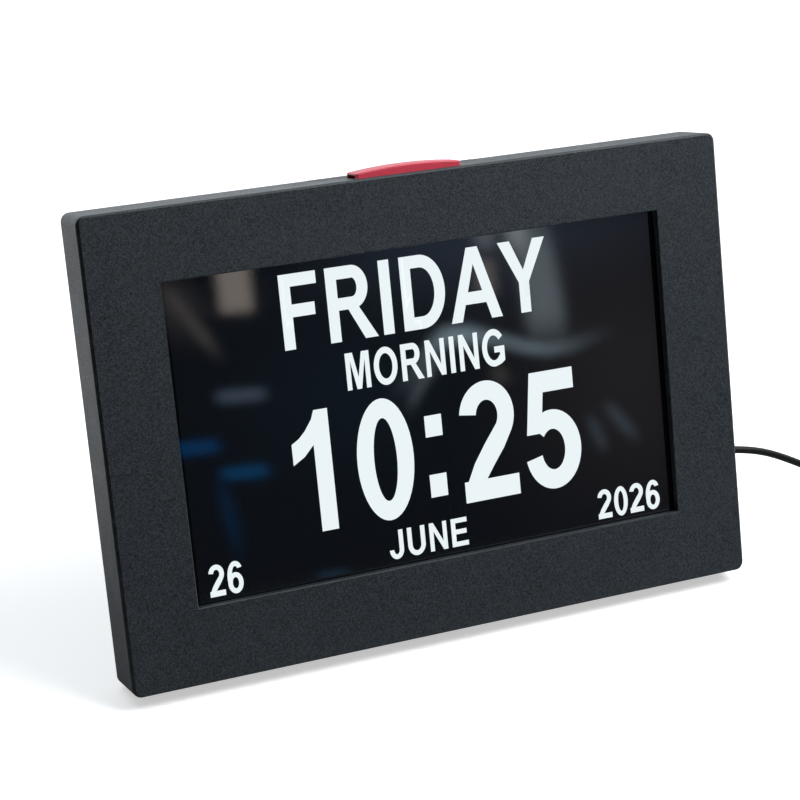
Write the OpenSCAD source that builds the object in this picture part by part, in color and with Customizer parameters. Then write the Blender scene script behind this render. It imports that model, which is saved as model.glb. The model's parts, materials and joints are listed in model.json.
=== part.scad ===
// Free-standing digital day clock with a leaning case, a fold-out rear leg, a sprung red bar
// button on top, six rear keys, and a mains adapter on a thin lead.
// Row frame: X to the right, Y to the rear, Z up; the origin is on the table under the clock.
// Case frame: X to the right, Y into the case from its front face, Z up along the case.

/* [Case] */
// Width of the case, left to right
case_w = 225; // [218:1:250]
// Height of the case along its leaning face
case_h = 154.5; // [150:0.5:170]
// Depth of the case's side walls
case_d = 19.5; // [19:0.5:24]
// Radius of the case's corners, seen from the front
corner_r = 3; // [2.4:0.1:6]
// Thickness of the side walls
wall_t = 2.2; // [1.8:0.1:2.6]
// Thickness of the front bezel
bezel_t = 2.6; // [2:0.1:3]
// Thickness of the back cover
cover_t = 2.2; // [1.8:0.1:2.6]
// Bevel on the outer edges of the case
edge_c = 0.4; // [0.2:0.1:0.8]
// Gap all round the back cover inside the walls
cover_gap = 0.15; // [0.1:0.05:0.3]
// Backward lean of the standing case, in degrees
lean = 13.9; // [12:0.1:16]
// Height of the case's lowest edge above the table
table_gap = 0.7; // [0.5:0.1:0.9]

/* [Display] */
// Width of the bezel's border on the left and on the right
border_side = 24.7; // [23.5:0.1:27]
// Height of the bezel's border above the window
border_top = 23.75; // [22.5:0.05:27]
// Height of the bezel's border below the window
border_low = 25.35; // [22.5:0.05:27]
// Bevel on the window's front edge
window_c = 0.3; // [0.1:0.1:0.6]
// How far the glass panel reaches behind the bezel on each side
panel_lap = 3.7; // [3:0.1:4.5]
// Thickness of the glass panel
panel_t = 1.6; // [1.2:0.1:2]
// Thickness of the foam strip between bezel and panel
gasket_t = 0.8; // [0.5:0.1:1]
// Thickness of the light tray behind the panel
tray_t = 3.4; // [3:0.1:3.8]
// Width of the tray's rim round the panel
tray_rim = 0.7; // [0.5:0.1:1]

/* [Top button] */
// Length of the red bar
button_w = 37; // [30:0.5:46]
// Depth of the red bar, front to back
button_d = 9.1; // [7:0.1:9.3]
// How far the front of the bar lies behind the front face
button_y = 2.7; // [2.7:0.1:3]
// Height of the bar's ends above the case
button_end_h = 1.6; // [1:0.1:2.5]
// Extra height of the bar's middle, as an arch
button_arch = 1.1; // [0.5:0.1:2]
// Travel of the bar and of each rear key
press_travel = 0.6; // [0.3:0.1:0.7]
// Width of the tongue of the back cover behind the bar
tongue_w = 60; // [56:1:80]
// Radius of the tongue's front corners
tongue_r = 5; // [2:0.5:6]
// Width of the seam at each end of the tongue
tongue_seam = 0.4; // [0.15:0.05:0.5]

/* [Rear housing] */
// Width of the raised housing on the back cover
hump_w = 140; // [134:1:144]
// Height of the raised housing
hump_h = 92; // [88:1:94]
// Height of the housing's lower edge above the case's bottom
hump_low = 8; // [6:0.5:10]
// How far the housing stands out behind the case
hump_d = 10; // [9.5:0.5:12]
// How far the housing's sides draw in towards its rear face
hump_taper = 5; // [4:0.5:6]

/* [Stand] */
// Width of the leg at its hinge
leg_w = 41; // [34:1:46]
// Width of the leg at its tip
leg_tip_w = 30; // [26:1:32]
// Thickness of the leg
leg_t = 3.6; // [3:0.1:4]
// Distance of the hinge pin below the housing's upper edge
hinge_drop = 16; // [14:0.5:20]
// Angle that the leg swings through, from the case to fully open
leg_swing = 27; // [24:0.5:30]
// Radius of the hinge pin
pin_r = 1.2; // [1:0.1:1.4]

/* [Rear keys] */
// Radius of each round key
key_r = 3.5; // [3:0.1:4]
// Distance between the middles of neighbouring keys
key_pitch = 14; // [11:0.5:14]
// Height of the lowest key above the case's bottom
key_low = 44; // [42:0.5:48]
// Distance of the keys from the case's right side
key_inset = 23; // [22.5:0.5:24]
// How far each key stands out of the cover
key_out = 1.2; // [0.8:0.1:2]

/* [Sound] */
// Radius of the loudspeaker
speaker_r = 12; // [10:0.5:12]

/* [Power inlet] */
// Height of the power socket above the case's bottom
jack_z = 39; // [36:0.5:46]
// Distance of the socket's axis behind the front face
jack_y = 23.6; // [23.5:0.1:24]
// Radius of the plug's metal sleeve
barrel_r = 1.75; // [1.5:0.05:2]
// Radius of the plug's moulded grip
grip_r = 3.8; // [3.4:0.1:3.8]
// Length of the plug's moulded grip
grip_l = 20; // [16:0.5:24]
// Length of each tapered strain relief
relief_l = 16; // [12:0.5:20]

/* [Cord] */
// Diameter of the lead
cord_d = 2.7; // [2.4:0.1:2.8]
// Number of turns in the stored coil
coil_turns = 13; // [5:4:13]
// Distance between neighbouring turns of one layer
turn_pitch = 3.25; // [3.25:0.05:3.4]
// Height from one layer of turns to the next
layer_pitch = 3.2; // [3.2:0.05:3.4]
// Radius at the middle of the coil's turns
coil_r = 16.2; // [16:0.1:17]

/* [Adapter] */
// Length of the mains adapter
adapter_l = 64; // [56:1:70]
// Width of the mains adapter
adapter_w = 40; // [36:1:46]
// Thickness of the mains adapter
adapter_t = 28; // [24:1:32]

/* [Hidden] */

$fn = 48;
eps = 0.01;             // overlap that joins the volumes of one piece
over = 1;               // how far a cutter reaches past a face
slide_gap = 0.25;       // gap round pieces that slide in an opening
rest_gap = 0.05;        // gap between a moving piece and its stop
seat_gap = 0.1;         // gap between fixed neighbours
thread_gap = 0.02;      // gap between a screw and its pilot hole

// Display stack, all measured back from the front face
panel_front = bezel_t + gasket_t;
panel_back = panel_front + panel_t;
tray_back = panel_back + tray_t;
tray_front = panel_front + 0.2;
window_w = case_w - 2 * border_side;
window_h = case_h - border_top - border_low;
win_z = border_low + window_h / 2;
panel_w = window_w + 2 * panel_lap;
panel_h = window_h + 2 * panel_lap;
tray_w = panel_w + 2 * (tray_rim + seat_gap);
tray_h = panel_h + 2 * (tray_rim + seat_gap);
gasket_setback = 1;

// Back cover
cover_in = case_d - cover_t;
cover_w = case_w - 2 * (wall_t + cover_gap);
cover_h = case_h - 2 * (wall_t + cover_gap);
cover_r = max(corner_r - wall_t, 0.5) + 0.3;
hump_z = hump_low + hump_h / 2;
hump_back = case_d + hump_d;
hump_in = hump_back - cover_t;
hump_r = 10;

// Case screws
boss_r = 3.3;
boss_x = case_w / 2 - wall_t - boss_r - 4;
boss_zs = [11, case_h / 2, case_h - 11];
screw_r = 1.3;
head_r = 2.7;
head_h = 1.3;
head_sink = 1.4;
pilot_depth = 10;

// Panel brackets
bracket_t = 0.8;
bracket_w = 9;
bracket_inset = 14;     // from the case's side to the screw
bracket_x = case_w / 2 - bracket_inset;
bracket_lap = 7;        // reach over the tray
bracket_end = 3.6;      // reach past the screw
bracket_drop = 5;       // from the tray's upper or lower edge to the screw
bracket_zs = [win_z - tray_h / 2 + bracket_drop, win_z + tray_h / 2 - bracket_drop];
bracket_boss_r = 2.7;
small_screw_r = 0.9;
small_head_r = 1.9;
small_head_h = 1.3;

// Top button; its depth ends where the cover's tongue begins
slot_y0 = button_y - slide_gap;
slot_y1 = button_y + button_d + slide_gap;
tongue_y = slot_y1;
wall_under = case_h - wall_t;
button_top = case_h + button_end_h + button_arch;
arch_r = (pow(button_w / 2, 2) + pow(button_arch, 2)) / (2 * button_arch);
flange_t = 1.5;
flange_out = 2.5;
flange_top = wall_under - rest_gap;
flange_low = flange_top - flange_t;
stem_w = 5;
stem_d = 4;
switch_size = 6;
switch_h = 3.5;
plunger_r = 1.6;
plunger_up = 1.3;       // how far a plunger stands out of its switch
plunger_in = 1.4;       // how far it reaches into its switch
stem_low = flange_low - 4.5;
bar_switch_top = stem_low - plunger_up;
bar_board_top = bar_switch_top - switch_h;
bar_board_t = 1.2;
bar_mid_y = button_y + button_d / 2;
bar_board_w = 50;
bar_board_d = 2 * (bar_mid_y - bezel_t - 0.3);
bar_shelf_t = 2.6;
bar_screw_x = 20;

// Rear keys and their board
key_count = 6;
key_x = case_w / 2 - key_inset;
key_flange_t = 1.2;
key_flange_r = key_r + 1.2;
key_flange_back = cover_in - rest_gap;
key_flange_front = key_flange_back - key_flange_t;
key_switch_back = key_flange_front - plunger_up;
key_board_back = key_switch_back - 2.8;
key_board_t = 1.6;
key_board_w = 12;
key_board_margin = 12;
key_post_r = 2.5;
key_post_inset = 3.5;
key_board_low = key_low - key_board_margin;
key_board_high = key_low + (key_count - 1) * key_pitch + key_board_margin;

// Main board, carried by posts inside the raised housing
board_t = 1.6;
board_front = cover_in - 0.3;
board_back = board_front + board_t;
board_gap = 6;          // from the housing's lower and upper edges to the board
board_gap_left = 12;
board_gap_right = 10;
board_x0 = -(hump_w / 2 - board_gap_left);
board_x1 = hump_w / 2 - board_gap_right;
board_z0 = hump_low + board_gap;
board_z1 = hump_low + hump_h - board_gap;
board_post_r = 3;
board_post_inset = 18;  // from the housing's side to a post
board_post_end = 5;     // from the board's edge to a post
board_post_x = hump_w / 2 - board_post_inset;
board_post_zs = [board_z0 + board_post_end, board_z1 - board_post_end];

// Stand
floor_y = hump_back - 5.4;
barrel_out_r = 2.4;
hinge_z = hump_low + hump_h - hinge_drop;
hinge_y = floor_y + 0.3 + barrel_out_r;
channel_half = leg_w / 2 + 0.5;
channel_wall = 2.2;
channel_top = hinge_z + 4.6;
pin_run = 0.05;
leg_from_vertical = leg_swing - lean;
heel_h = (hinge_y - floor_y - rest_gap - leg_t / 2 * cos(leg_swing)) / sin(leg_swing);
tip_r = 2.5;
tip_flat = 0.4;
tip_l = 9;
tongue_in = 5;
lift = case_d * sin(lean) + table_gap;
hinge_row_z = lift - hinge_y * sin(lean) + hinge_z * cos(lean);
leg_len = (hinge_row_z - tip_r + tip_flat) / cos(leg_from_vertical) + tip_r;
tip_row_y = hinge_y * cos(lean) + hinge_z * sin(lean)
          + (leg_len - tip_r) * sin(leg_from_vertical) + tip_r;
mid_y = (tip_row_y + edge_c * sin(lean)) / 2;

// Rubber feet under the case's rear bottom edge
pad_w = 24;
pad_y0 = 12;
pad_t = 1.5;
pad_inset = 28;         // from the case's side to a pad's middle
pad_x = case_w / 2 - pad_inset;

// Power inlet on the right side of the raised housing
jack_l = 11;
jack_wide = 8;
jack_inset = 9.2;       // from the housing's side to the socket's face
jack_face = hump_w / 2 - jack_inset;
jack_bore_r = barrel_r + 0.1;
jack_pin_r = 0.6;
sleeve_l = 8.2;
inlet_wall_t = 3.5;
inlet_wall_x0 = jack_face + 0.2;
inlet_wall_x1 = inlet_wall_x0 + inlet_wall_t;
inlet_hole_r = barrel_r + 0.6;
inlet_well_r = grip_r + 0.6;
grip_x0 = inlet_wall_x1 + 0.4;
sleeve_x0 = inlet_wall_x0 - sleeve_l;
exit_x = grip_x0 + grip_l + relief_l;
relief_r0 = 2.9;
relief_r1 = cord_d / 2 + 0.35;

// Cord: the exit in the row frame, and the route of the free lead beyond it
function row(p) = [p[0], p[1] * cos(lean) + p[2] * sin(lean) - mid_y,
                   lift - p[1] * sin(lean) + p[2] * cos(lean)];
exit = row([exit_x, jack_y, jack_z]);
coil_x = 202;
coil_y = -15;
tie_t = 0.8;
coil_z = tie_t + 0.2 + cord_d / 2;
layers = 4;
turns_per_layer = coil_turns / layers;
coil_out = coil_r + turns_per_layer * turn_pitch / 2;
coil_in = coil_r - turns_per_layer * turn_pitch / 2;
ring_steps = 24;
coil_sides = 6;
lead_sides = 8;
join = [coil_x - cord_d, coil_y + coil_out, coil_z];
lead_route = [
  exit,
  exit + [cord_d, 0, 0],
  [108, -1.2, 37.5],
  [114, -1.2, 37.1],
  [120, -1.2, 36.5],
  [126, -1.2, 35.5],
  [132, -1.2, 34.2],
  [138, -1.2, 32.4],
  [144, -1.1, 29.9],
  [150, -0.9, 26.9],
  [156, -0.5, 23.6],
  [162, 0.1, 20.0],
  [168, 0.9, 16.2],
  [174, 1.9, 12.4],
  [180, 3.0, 9.0],
  [186, 4.1, 6.1],
  [191, 5.0, 4.1],
  [196, 5.9, 2.8],
  join
];
adapter_x = 286;
adapter_mid_y = 4;
adapter_relief_x = adapter_x - relief_l;
adapter_exit_z = adapter_t / 2;
tail_start = [coil_x + cord_d, join[1], coil_z + (layers - 1) * layer_pitch];
tail_route = [
  tail_start,
  [210, 6.5, 11.7],
  [216, 6.3, 10.6],
  [222, 6.0, 9.2],
  [228, 5.6, 7.9],
  [234, 5.1, 7.1],
  [240, 4.6, 7.1],
  [246, 4.2, 8.0],
  [252, 4.0, 9.8],
  [258, 4.0, 11.8],
  [264, 4.0, 13.3],
  [adapter_relief_x - cord_d, adapter_mid_y, adapter_exit_z],
  [adapter_relief_x, adapter_mid_y, adapter_exit_z]
];

// ---------- shared shapes ----------

// Puts a piece that is drawn in the case frame where the leaning case stands
module in_case() {
  translate([0, -mid_y, lift]) rotate([-lean, 0, 0]) children();
}

// Extrudes an outline drawn in X and Z from depth y0 to depth y1
module slab(y0, y1) {
  translate([0, y1, 0]) rotate([90, 0, 0]) linear_extrude(y1 - y0) children();
}

// Rounded rectangle, centred, with true arcs
module round_rect(w, h, r) {
  square([w - 2 * r, h], center = true);
  square([w, h - 2 * r], center = true);
  for (sx = [-1, 1], sy = [-1, 1]) translate([sx * (w / 2 - r), sy * (h / 2 - r)]) circle(r);
}

// Rounded block w x h in the plane and d thick, with bevelled front and back edges
module bevelled_block(w, h, d, r, c0, c1) {
  function profile(a) = [[-a + c0, 0], [a - c0, 0], [a, c0], [a, d - c1], [a - c1, d],
                         [-a + c1, d], [-a, d - c1], [-a, c0]];
  translate([-(w / 2 - r), 0, 0]) rotate([90, 0, 90]) linear_extrude(w - 2 * r) polygon(profile(h / 2));
  translate([0, h / 2 - r, 0]) rotate([90, 0, 0]) linear_extrude(h - 2 * r) polygon(profile(w / 2));
  for (sx = [-1, 1], sy = [-1, 1]) translate([sx * (w / 2 - r), sy * (h / 2 - r), 0])
    rotate_extrude() polygon([[0, 0], [r - c0, 0], [r, c0], [r, d - c1], [r - c1, d], [0, d]]);
}

// Cylinder along Y from y0 to y1, at x and z
module rod_y(x, z, r, y0, y1) {
  translate([x, y1, z]) rotate([90, 0, 0]) cylinder(r = r, h = y1 - y0);
}

// Cylinder along X from x0 to x1, at y and z
module rod_x(y, z, r, x0, x1) {
  translate([x0, y, z]) rotate([0, 90, 0]) cylinder(r = r, h = x1 - x0);
}

// Machine screw along Y: its head lies from y_head to y_head + h, its shank reaches y_tip
module screw_y(x, z, shank, head, h, y_head, y_tip) {
  inward = y_tip < y_head;
  difference() {
    union() {
      rod_y(x, z, head, y_head, y_head + h);
      if (inward) rod_y(x, z, shank, y_tip, y_head + eps);
      else rod_y(x, z, shank, y_head + h - eps, y_tip);
    }
    for (a = [0, 90]) translate([x, inward ? y_head + h : y_head, z]) rotate([0, a, 0])
      cube([head * 1.1, h, head * 0.28], center = true);
  }
}

// Tube swept along a list of points, closed at both ends
function unit(v) = v / norm(v);
function tangent(p, i) = unit(p[min(i + 1, len(p) - 1)] - p[max(i - 1, 0)]);
function ring(p, i, r, sides) =
  let (t = tangent(p, i), side = unit(cross(t, [0, 0, 1])), up = cross(side, t))
  [for (k = [0:sides - 1]) p[i] + r * (cos(360 * k / sides) * side + sin(360 * k / sides) * up)];
function tube_points(p, r, sides) = [for (i = [0:len(p) - 1]) each ring(p, i, r, sides)];
function tube_faces(n, sides) = concat(
  [for (i = [0:n - 2], k = [0:sides - 1]) let (a = i * sides + k, b = i * sides + (k + 1) % sides)
    each [[a, b, b + sides], [a, b + sides, a + sides]]],
  [for (k = [1:sides - 2]) [0, k + 1, k]],
  [for (k = [1:sides - 2]) let (e = (n - 1) * sides) [e, e + k, e + k + 1]]);
module tube(p, r, sides) {
  polyhedron(points = tube_points(p, r, sides), faces = tube_faces(len(p), sides));
}

// ---------- case ----------

module front_frame() {
  color("#3a3f44") in_case() difference() {
    union() {
      difference() {
        translate([0, 0, case_h / 2]) rotate([-90, 0, 0]) mirror([0, 1, 0])
          bevelled_block(case_w, case_h, case_d, corner_r, edge_c, edge_c);
        slab(bezel_t, case_d + over) translate([0, case_h / 2])
          round_rect(case_w - 2 * wall_t, case_h - 2 * wall_t, max(corner_r - wall_t, 0.5));
      }
      for (sx = [-1, 1], z = boss_zs) case_boss(sx * boss_x, z);
      for (sx = [-1, 1], z = bracket_zs)
        rod_y(sx * bracket_x, z, bracket_boss_r, bezel_t - eps, tray_back + seat_gap);
      tray_ribs();
      bar_shelf();
    }
    slab(-over, bezel_t + over) translate([0, win_z]) square([window_w, window_h], center = true);
    window_bevel();
    for (sx = [-1, 1], z = boss_zs)
      rod_y(sx * boss_x, z, screw_r + thread_gap, cover_in - pilot_depth, cover_in);
    for (sx = [-1, 1], z = bracket_zs)
      rod_y(sx * bracket_x, z, small_screw_r + thread_gap, bezel_t + 1, tray_back + over);
    bar_slot();
    for (sx = [-1, 1]) translate([sx * bar_screw_x, bar_mid_y,
      bar_board_top - bar_board_t - bar_shelf_t - over])
      cylinder(r = small_screw_r + thread_gap, h = bar_shelf_t + 2 * over);
  }
}

// Post for a case screw, tied to the side wall by a web
module case_boss(x, z) {
  side = x > 0 ? 1 : -1;
  rod_y(x, z, boss_r, bezel_t - eps, cover_in - seat_gap);
  web_x = (x + side * (case_w / 2 - wall_t / 2)) / 2;
  web_l = case_w / 2 - wall_t / 2 - abs(x);
  translate([web_x, (bezel_t + cover_in - seat_gap) / 2, z])
    cube([web_l, cover_in - seat_gap - bezel_t, 1.4], center = true);
}

// Thin ribs that hold the light tray in place
module tray_ribs() {
  rib_l = 14;
  rib_t = 1.2;
  rib_back = tray_back - 1.5;
  x = tray_w / 2 + 0.3;
  z = tray_h / 2 + 0.3;
  for (sx = [-1, 1], sz = [-1, 1]) {
    translate([sx > 0 ? x : -x - rib_t, bezel_t - eps, win_z + sz * (z - 22) - rib_l / 2])
      cube([rib_t, rib_back - bezel_t, rib_l]);
    translate([sx * (x - 28) - rib_l / 2, bezel_t - eps, win_z + (sz > 0 ? z : -z - rib_t)])
      cube([rib_l, rib_back - bezel_t, rib_t]);
  }
}

// Mitred bevel round the window's front edge
module window_bevel() {
  hull() {
    slab(-eps, 0) translate([0, win_z])
      square([window_w + 2 * window_c, window_h + 2 * window_c], center = true);
    slab(window_c, window_c + eps) translate([0, win_z]) square([window_w, window_h], center = true);
  }
}

// Opening for the bar button, and the notch behind it for the cover's tongue
module bar_slot() {
  slot_w = button_w + 2 * slide_gap;
  translate([-slot_w / 2, slot_y0, wall_under - over])
    cube([slot_w, slot_y1 - slot_y0 + eps, wall_t + 2 * over]);
  translate([0, 0, wall_under - over]) linear_extrude(wall_t + 2 * over)
    tongue_outline(tongue_w, tongue_y, tongue_r);
}

// Outline of the tongue seen from above, with round front corners, running past the rear edge
module tongue_outline(w, y0, r) {
  translate([-w / 2, y0 + r]) square([w, case_d - y0 - r + over]);
  translate([-w / 2 + r, y0]) square([w - 2 * r, case_d - y0]);
  for (sx = [-1, 1]) translate([sx * (w / 2 - r), y0 + r]) circle(r);
}

// Ledge that carries the bar button's circuit board
module bar_shelf() {
  top = bar_board_top - bar_board_t;
  for (sx = [-1, 1]) translate([sx * bar_screw_x - 4, bezel_t - eps, top - bar_shelf_t])
    cube([8, bar_mid_y + 4 - bezel_t, bar_shelf_t]);
}

module back_cover() {
  color("#33373b") in_case() difference() {
    union() {
      slab(cover_in, case_d) translate([0, case_h / 2]) round_rect(cover_w, cover_h, cover_r);
      hump_solid(hump_w, hump_h, hump_r, cover_in + eps, hump_back);
      cover_tongue();
      for (z = [key_board_low + key_post_inset, key_board_high - key_post_inset])
        rod_y(key_x, z, key_post_r, key_board_back, cover_in + eps);
      speaker_cup();
    }
    difference() {
      hump_solid(hump_w - 2 * cover_t, hump_h - 2 * cover_t, hump_r - cover_t, cover_in - eps, hump_in);
      channel_walls();
      inlet_block();
      for (sx = [-1, 1], z = board_post_zs)
        rod_y(sx * board_post_x, z, board_post_r, board_back, hump_back);
    }
    translate([-channel_half, floor_y, -over]) cube([2 * channel_half, hump_d + over, channel_top + over]);
    rod_x(hinge_y, hinge_z, pin_r + thread_gap, -channel_half - 1.6, channel_half + 1.6);
    rod_x(jack_y, jack_z, inlet_hole_r, inlet_wall_x0 - over, inlet_wall_x1 + over);
    rod_x(jack_y, jack_z, inlet_well_r, inlet_wall_x1, hump_w / 2 + over);
    for (sx = [-1, 1], z = boss_zs) {
      rod_y(sx * boss_x, z, screw_r + 0.3, cover_in - over, case_d + over);
      rod_y(sx * boss_x, z, head_r + 0.3, case_d - head_sink, case_d + over);
    }
    for (i = [0:key_count - 1])
      rod_y(key_x, key_low + i * key_pitch, key_r + slide_gap, cover_in - over, case_d + over);
    for (z = [key_board_low + key_post_inset, key_board_high - key_post_inset])
      rod_y(key_x, z, small_screw_r + thread_gap, key_board_back - over, key_board_back + 4);
    for (sx = [-1, 1], z = board_post_zs)
      rod_y(sx * board_post_x, z, small_screw_r + thread_gap, board_back - over, board_back + 4);
    for (sx = [-1, 1]) keyhole(sx * keyhole_x);
    vents();
    speaker_grille();
  }
}

// Tapered housing with round corners, as a solid between two depths
module hump_solid(w, h, r, y0, y1) {
  draw_in = hump_taper * 2 * (y1 - y0) / (hump_d + cover_t);
  hull() {
    slab(y0, y0 + eps) translate([0, hump_z]) round_rect(w, h, r, $fn = 32);
    slab(y1 - eps, y1) translate([0, hump_z]) round_rect(w - draw_in, h - draw_in, r - 1, $fn = 32);
  }
}

// Floor and sides of the channel that the leg folds into
module channel_walls() {
  half = channel_half + channel_wall;
  translate([-half, floor_y - cover_t, 0]) cube([2 * half, hump_d + over, channel_top + channel_wall]);
}

// Block round the power socket's opening, inside the housing
module inlet_block() {
  translate([inlet_wall_x0, cover_in, jack_z - inlet_well_r - 1.6])
    cube([hump_w / 2 - inlet_wall_x0, hump_d + cover_t, 2 * (inlet_well_r + 1.6)]);
}

tongue_rib_pitch = 16;
tongue_rib_t = 1.4;
tongue_rib_h = 8;

// Tongue that closes the case's top wall behind the bar button
module cover_tongue() {
  w = tongue_w - 2 * tongue_seam;
  intersection() {
    translate([0, 0, wall_under]) linear_extrude(wall_t)
      tongue_outline(w, tongue_y + cover_gap, tongue_r - tongue_seam);
    translate([-w / 2, 0, wall_under]) cube([w, case_d, wall_t]);
  }
  for (i = [-1.5:1:1.5]) translate([i * tongue_rib_pitch - tongue_rib_t / 2, 0, 0]) hull() {
    translate([0, cover_in, wall_under - tongue_rib_h]) cube([tongue_rib_t, eps, tongue_rib_h + eps]);
    translate([0, tongue_y + 3, wall_under - 1]) cube([tongue_rib_t, eps, 1 + eps]);
  }
  translate([-w / 2, cover_in, wall_under - 1]) cube([w, cover_t, 1 + eps]);
}

keyhole_x = 45;
keyhole_drop = 32;
keyhole_z = case_h - keyhole_drop;
keyhole_r = 4.2;
keyhole_neck_r = 2.1;
keyhole_up = 8;

// Hanging hole: a round opening with a narrow slot above it
module keyhole(x) {
  rod_y(x, keyhole_z, keyhole_r, cover_in - over, case_d + over);
  rod_y(x, keyhole_z + keyhole_up, keyhole_neck_r, cover_in - over, case_d + over);
  translate([x - keyhole_neck_r, cover_in - over, keyhole_z])
    cube([2 * keyhole_neck_r, cover_t + 2 * over, keyhole_up]);
}

vent_count = 7;
vent_pitch = 4.5;
vent_l = 9;
vent_w = 1.6;
vent_inset = 50.5;      // from the case's side to the innermost vent
vent_drop = 22;

// Two rows of upright slots for cooling, near the top of the cover
module vents() {
  for (sx = [-1, 1], i = [0:vent_count - 1])
    translate([sx * (case_w / 2 - vent_inset + i * vent_pitch) - vent_w / 2, cover_in - over,
      case_h - vent_drop])
      cube([vent_w, cover_t + 2 * over, vent_l]);
}

speaker_inset = 28;     // from the case's side to the speaker's middle
speaker_x = -(case_w / 2 - speaker_inset);
speaker_z = case_h / 2;
foam_t = 0.8;
cup_wall = 1.2;
cup_h = 4.5;
hole_r = 0.9;
hole_pitch = 3.4;

// Ring wall that holds the loudspeaker
module speaker_cup() {
  difference() {
    rod_y(speaker_x, speaker_z, speaker_r + 0.3 + cup_wall, cover_in - cup_h, cover_in + eps);
    rod_y(speaker_x, speaker_z, speaker_r + 0.3, cover_in - cup_h - over, cover_in + eps);
  }
}

// Rings of round holes in front of the loudspeaker
module speaker_grille() {
  rod_y(speaker_x, speaker_z, hole_r, cover_in - over, case_d + over);
  for (n = [1:2], k = [0:6 * n - 1]) rod_y(speaker_x + n * hole_pitch * cos(60 * k / n),
    speaker_z + n * hole_pitch * sin(60 * k / n), hole_r, cover_in - over, case_d + over);
}

module case_screws() {
  color("#8d9196") in_case() for (sx = [-1, 1], z = boss_zs)
    screw_y(sx * boss_x, z, screw_r, head_r, head_h, case_d - head_sink, cover_in - pilot_depth + 1);
}

pad_grooves = 4;
pad_groove_pitch = 5;
pad_groove_w = 1.2;
pad_groove_h = 0.4;

module foot_pads() {
  color("#1d1f21") difference() {
    intersection() {
      in_case() for (sx = [-1, 1]) translate([sx * pad_x - pad_w / 2, pad_y0, -pad_t])
        cube([pad_w, case_d - edge_c - pad_y0, pad_t]);
      translate([-case_w / 2, -case_d * 3, 0]) cube([case_w, case_d * 6, case_d]);
    }
    for (sx = [-1, 1], i = [0:pad_grooves - 1])
      translate([sx * pad_x + (i - (pad_grooves - 1) / 2) * pad_groove_pitch, 0, 0])
        cube([pad_groove_w, case_d * 6, 2 * pad_groove_h], center = true);
  }
}

// ---------- display ----------

module display_gasket() {
  color("#141516") in_case() slab(bezel_t, panel_front) translate([0, win_z]) difference() {
    square([panel_w, panel_h], center = true);
    square([window_w + 2 * gasket_setback, window_h + 2 * gasket_setback], center = true);
  }
}

module lcd_panel() {
  color("#0c1118") in_case() slab(panel_front, panel_back) translate([0, win_z])
    square([panel_w, panel_h], center = true);
}

module light_tray() {
  color("#c9ccd0") in_case() difference() {
    slab(tray_front, tray_back) translate([0, win_z]) square([tray_w, tray_h], center = true);
    slab(tray_front - over, panel_back) translate([0, win_z])
      square([panel_w + 2 * seat_gap, panel_h + 2 * seat_gap], center = true);
  }
}

ribbon_w = 30;
ribbon_t = 0.3;
socket_low = board_z0 + 30;
ribbon_low = socket_low - 6;
ribbon_bend_z = socket_low + 12;
socket_h = 8;
socket_t = 2.2;

// Flat flexible circuit: up the tray's back, round a bend and down into its socket
module display_ribbon() {
  y0 = tray_back + seat_gap;
  y1 = board_front - socket_t / 2;
  mid = (y0 + y1 + ribbon_t) / 2;
  outer = (y1 + ribbon_t - y0) / 2;
  color("#b5702c") in_case() translate([-ribbon_w / 2, 0, 0]) rotate([90, 0, 90]) linear_extrude(ribbon_w) {
    translate([y0, ribbon_low]) square([ribbon_t, ribbon_bend_z - ribbon_low]);
    translate([y1, socket_low + socket_h]) square([ribbon_t, ribbon_bend_z - socket_low - socket_h]);
    intersection() {
      translate([mid, ribbon_bend_z]) difference() {
        circle(outer);
        circle(outer - ribbon_t);
      }
      translate([y0 - over, ribbon_bend_z]) square([2 * outer + 2 * over, outer + over]);
    }
  }
}

// Steel strips that clamp the tray's back to the frame
module panel_brackets() {
  color("#b9bcc0") in_case() for (sx = [-1, 1], z = bracket_zs) difference() {
    translate([sx > 0 ? tray_w / 2 - bracket_lap : -bracket_x - bracket_end, tray_back + seat_gap,
      z - bracket_w / 2])
      cube([bracket_x + bracket_end - tray_w / 2 + bracket_lap, bracket_t, bracket_w]);
    rod_y(sx * bracket_x, z, small_screw_r + 0.2, tray_back - over, tray_back + over + bracket_t);
  }
}

module bracket_screws() {
  head_y = tray_back + seat_gap + bracket_t;
  color("#8d9196") in_case() for (sx = [-1, 1], z = bracket_zs)
    screw_y(sx * bracket_x, z, small_screw_r, small_head_r, small_head_h, head_y, bezel_t + 1.5);
}

// ---------- bar button ----------

pocket_in = 1.8;        // depth of the hollow in each end of the bar
pocket_wall = 0.7;      // wall left round the hollow

module top_button() {
  color("#c4304a") in_case() {
    translate([0, bar_mid_y, 0]) difference() {
      intersection() {
        translate([0, 0, flange_low]) linear_extrude(button_top - flange_low)
          round_rect(button_w, button_d, 1);
        translate([0, button_d / 2, button_top - arch_r]) rotate([90, 0, 0])
          cylinder(r = arch_r, h = button_d, $fn = 180);
      }
      for (sx = [-1, 1]) translate([sx * button_w / 2, 0, case_h + (button_end_h - pocket_wall) / 2 - 0.2])
        cube([2 * pocket_in, button_d - 2 * pocket_wall - 0.6, button_end_h - pocket_wall + 0.4],
          center = true);
    }
    translate([-button_w / 2 - flange_out, button_y, flange_low])
      cube([button_w + 2 * flange_out, button_d, flange_t]);
    translate([-stem_w / 2, bar_mid_y - stem_d / 2, stem_low])
      cube([stem_w, stem_d, flange_low - stem_low + eps]);
  }
}

module button_plunger() {
  color("#26282b") in_case() translate([0, bar_mid_y, bar_switch_top - plunger_in])
    cylinder(r = plunger_r, h = plunger_in + plunger_up);
}

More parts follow.
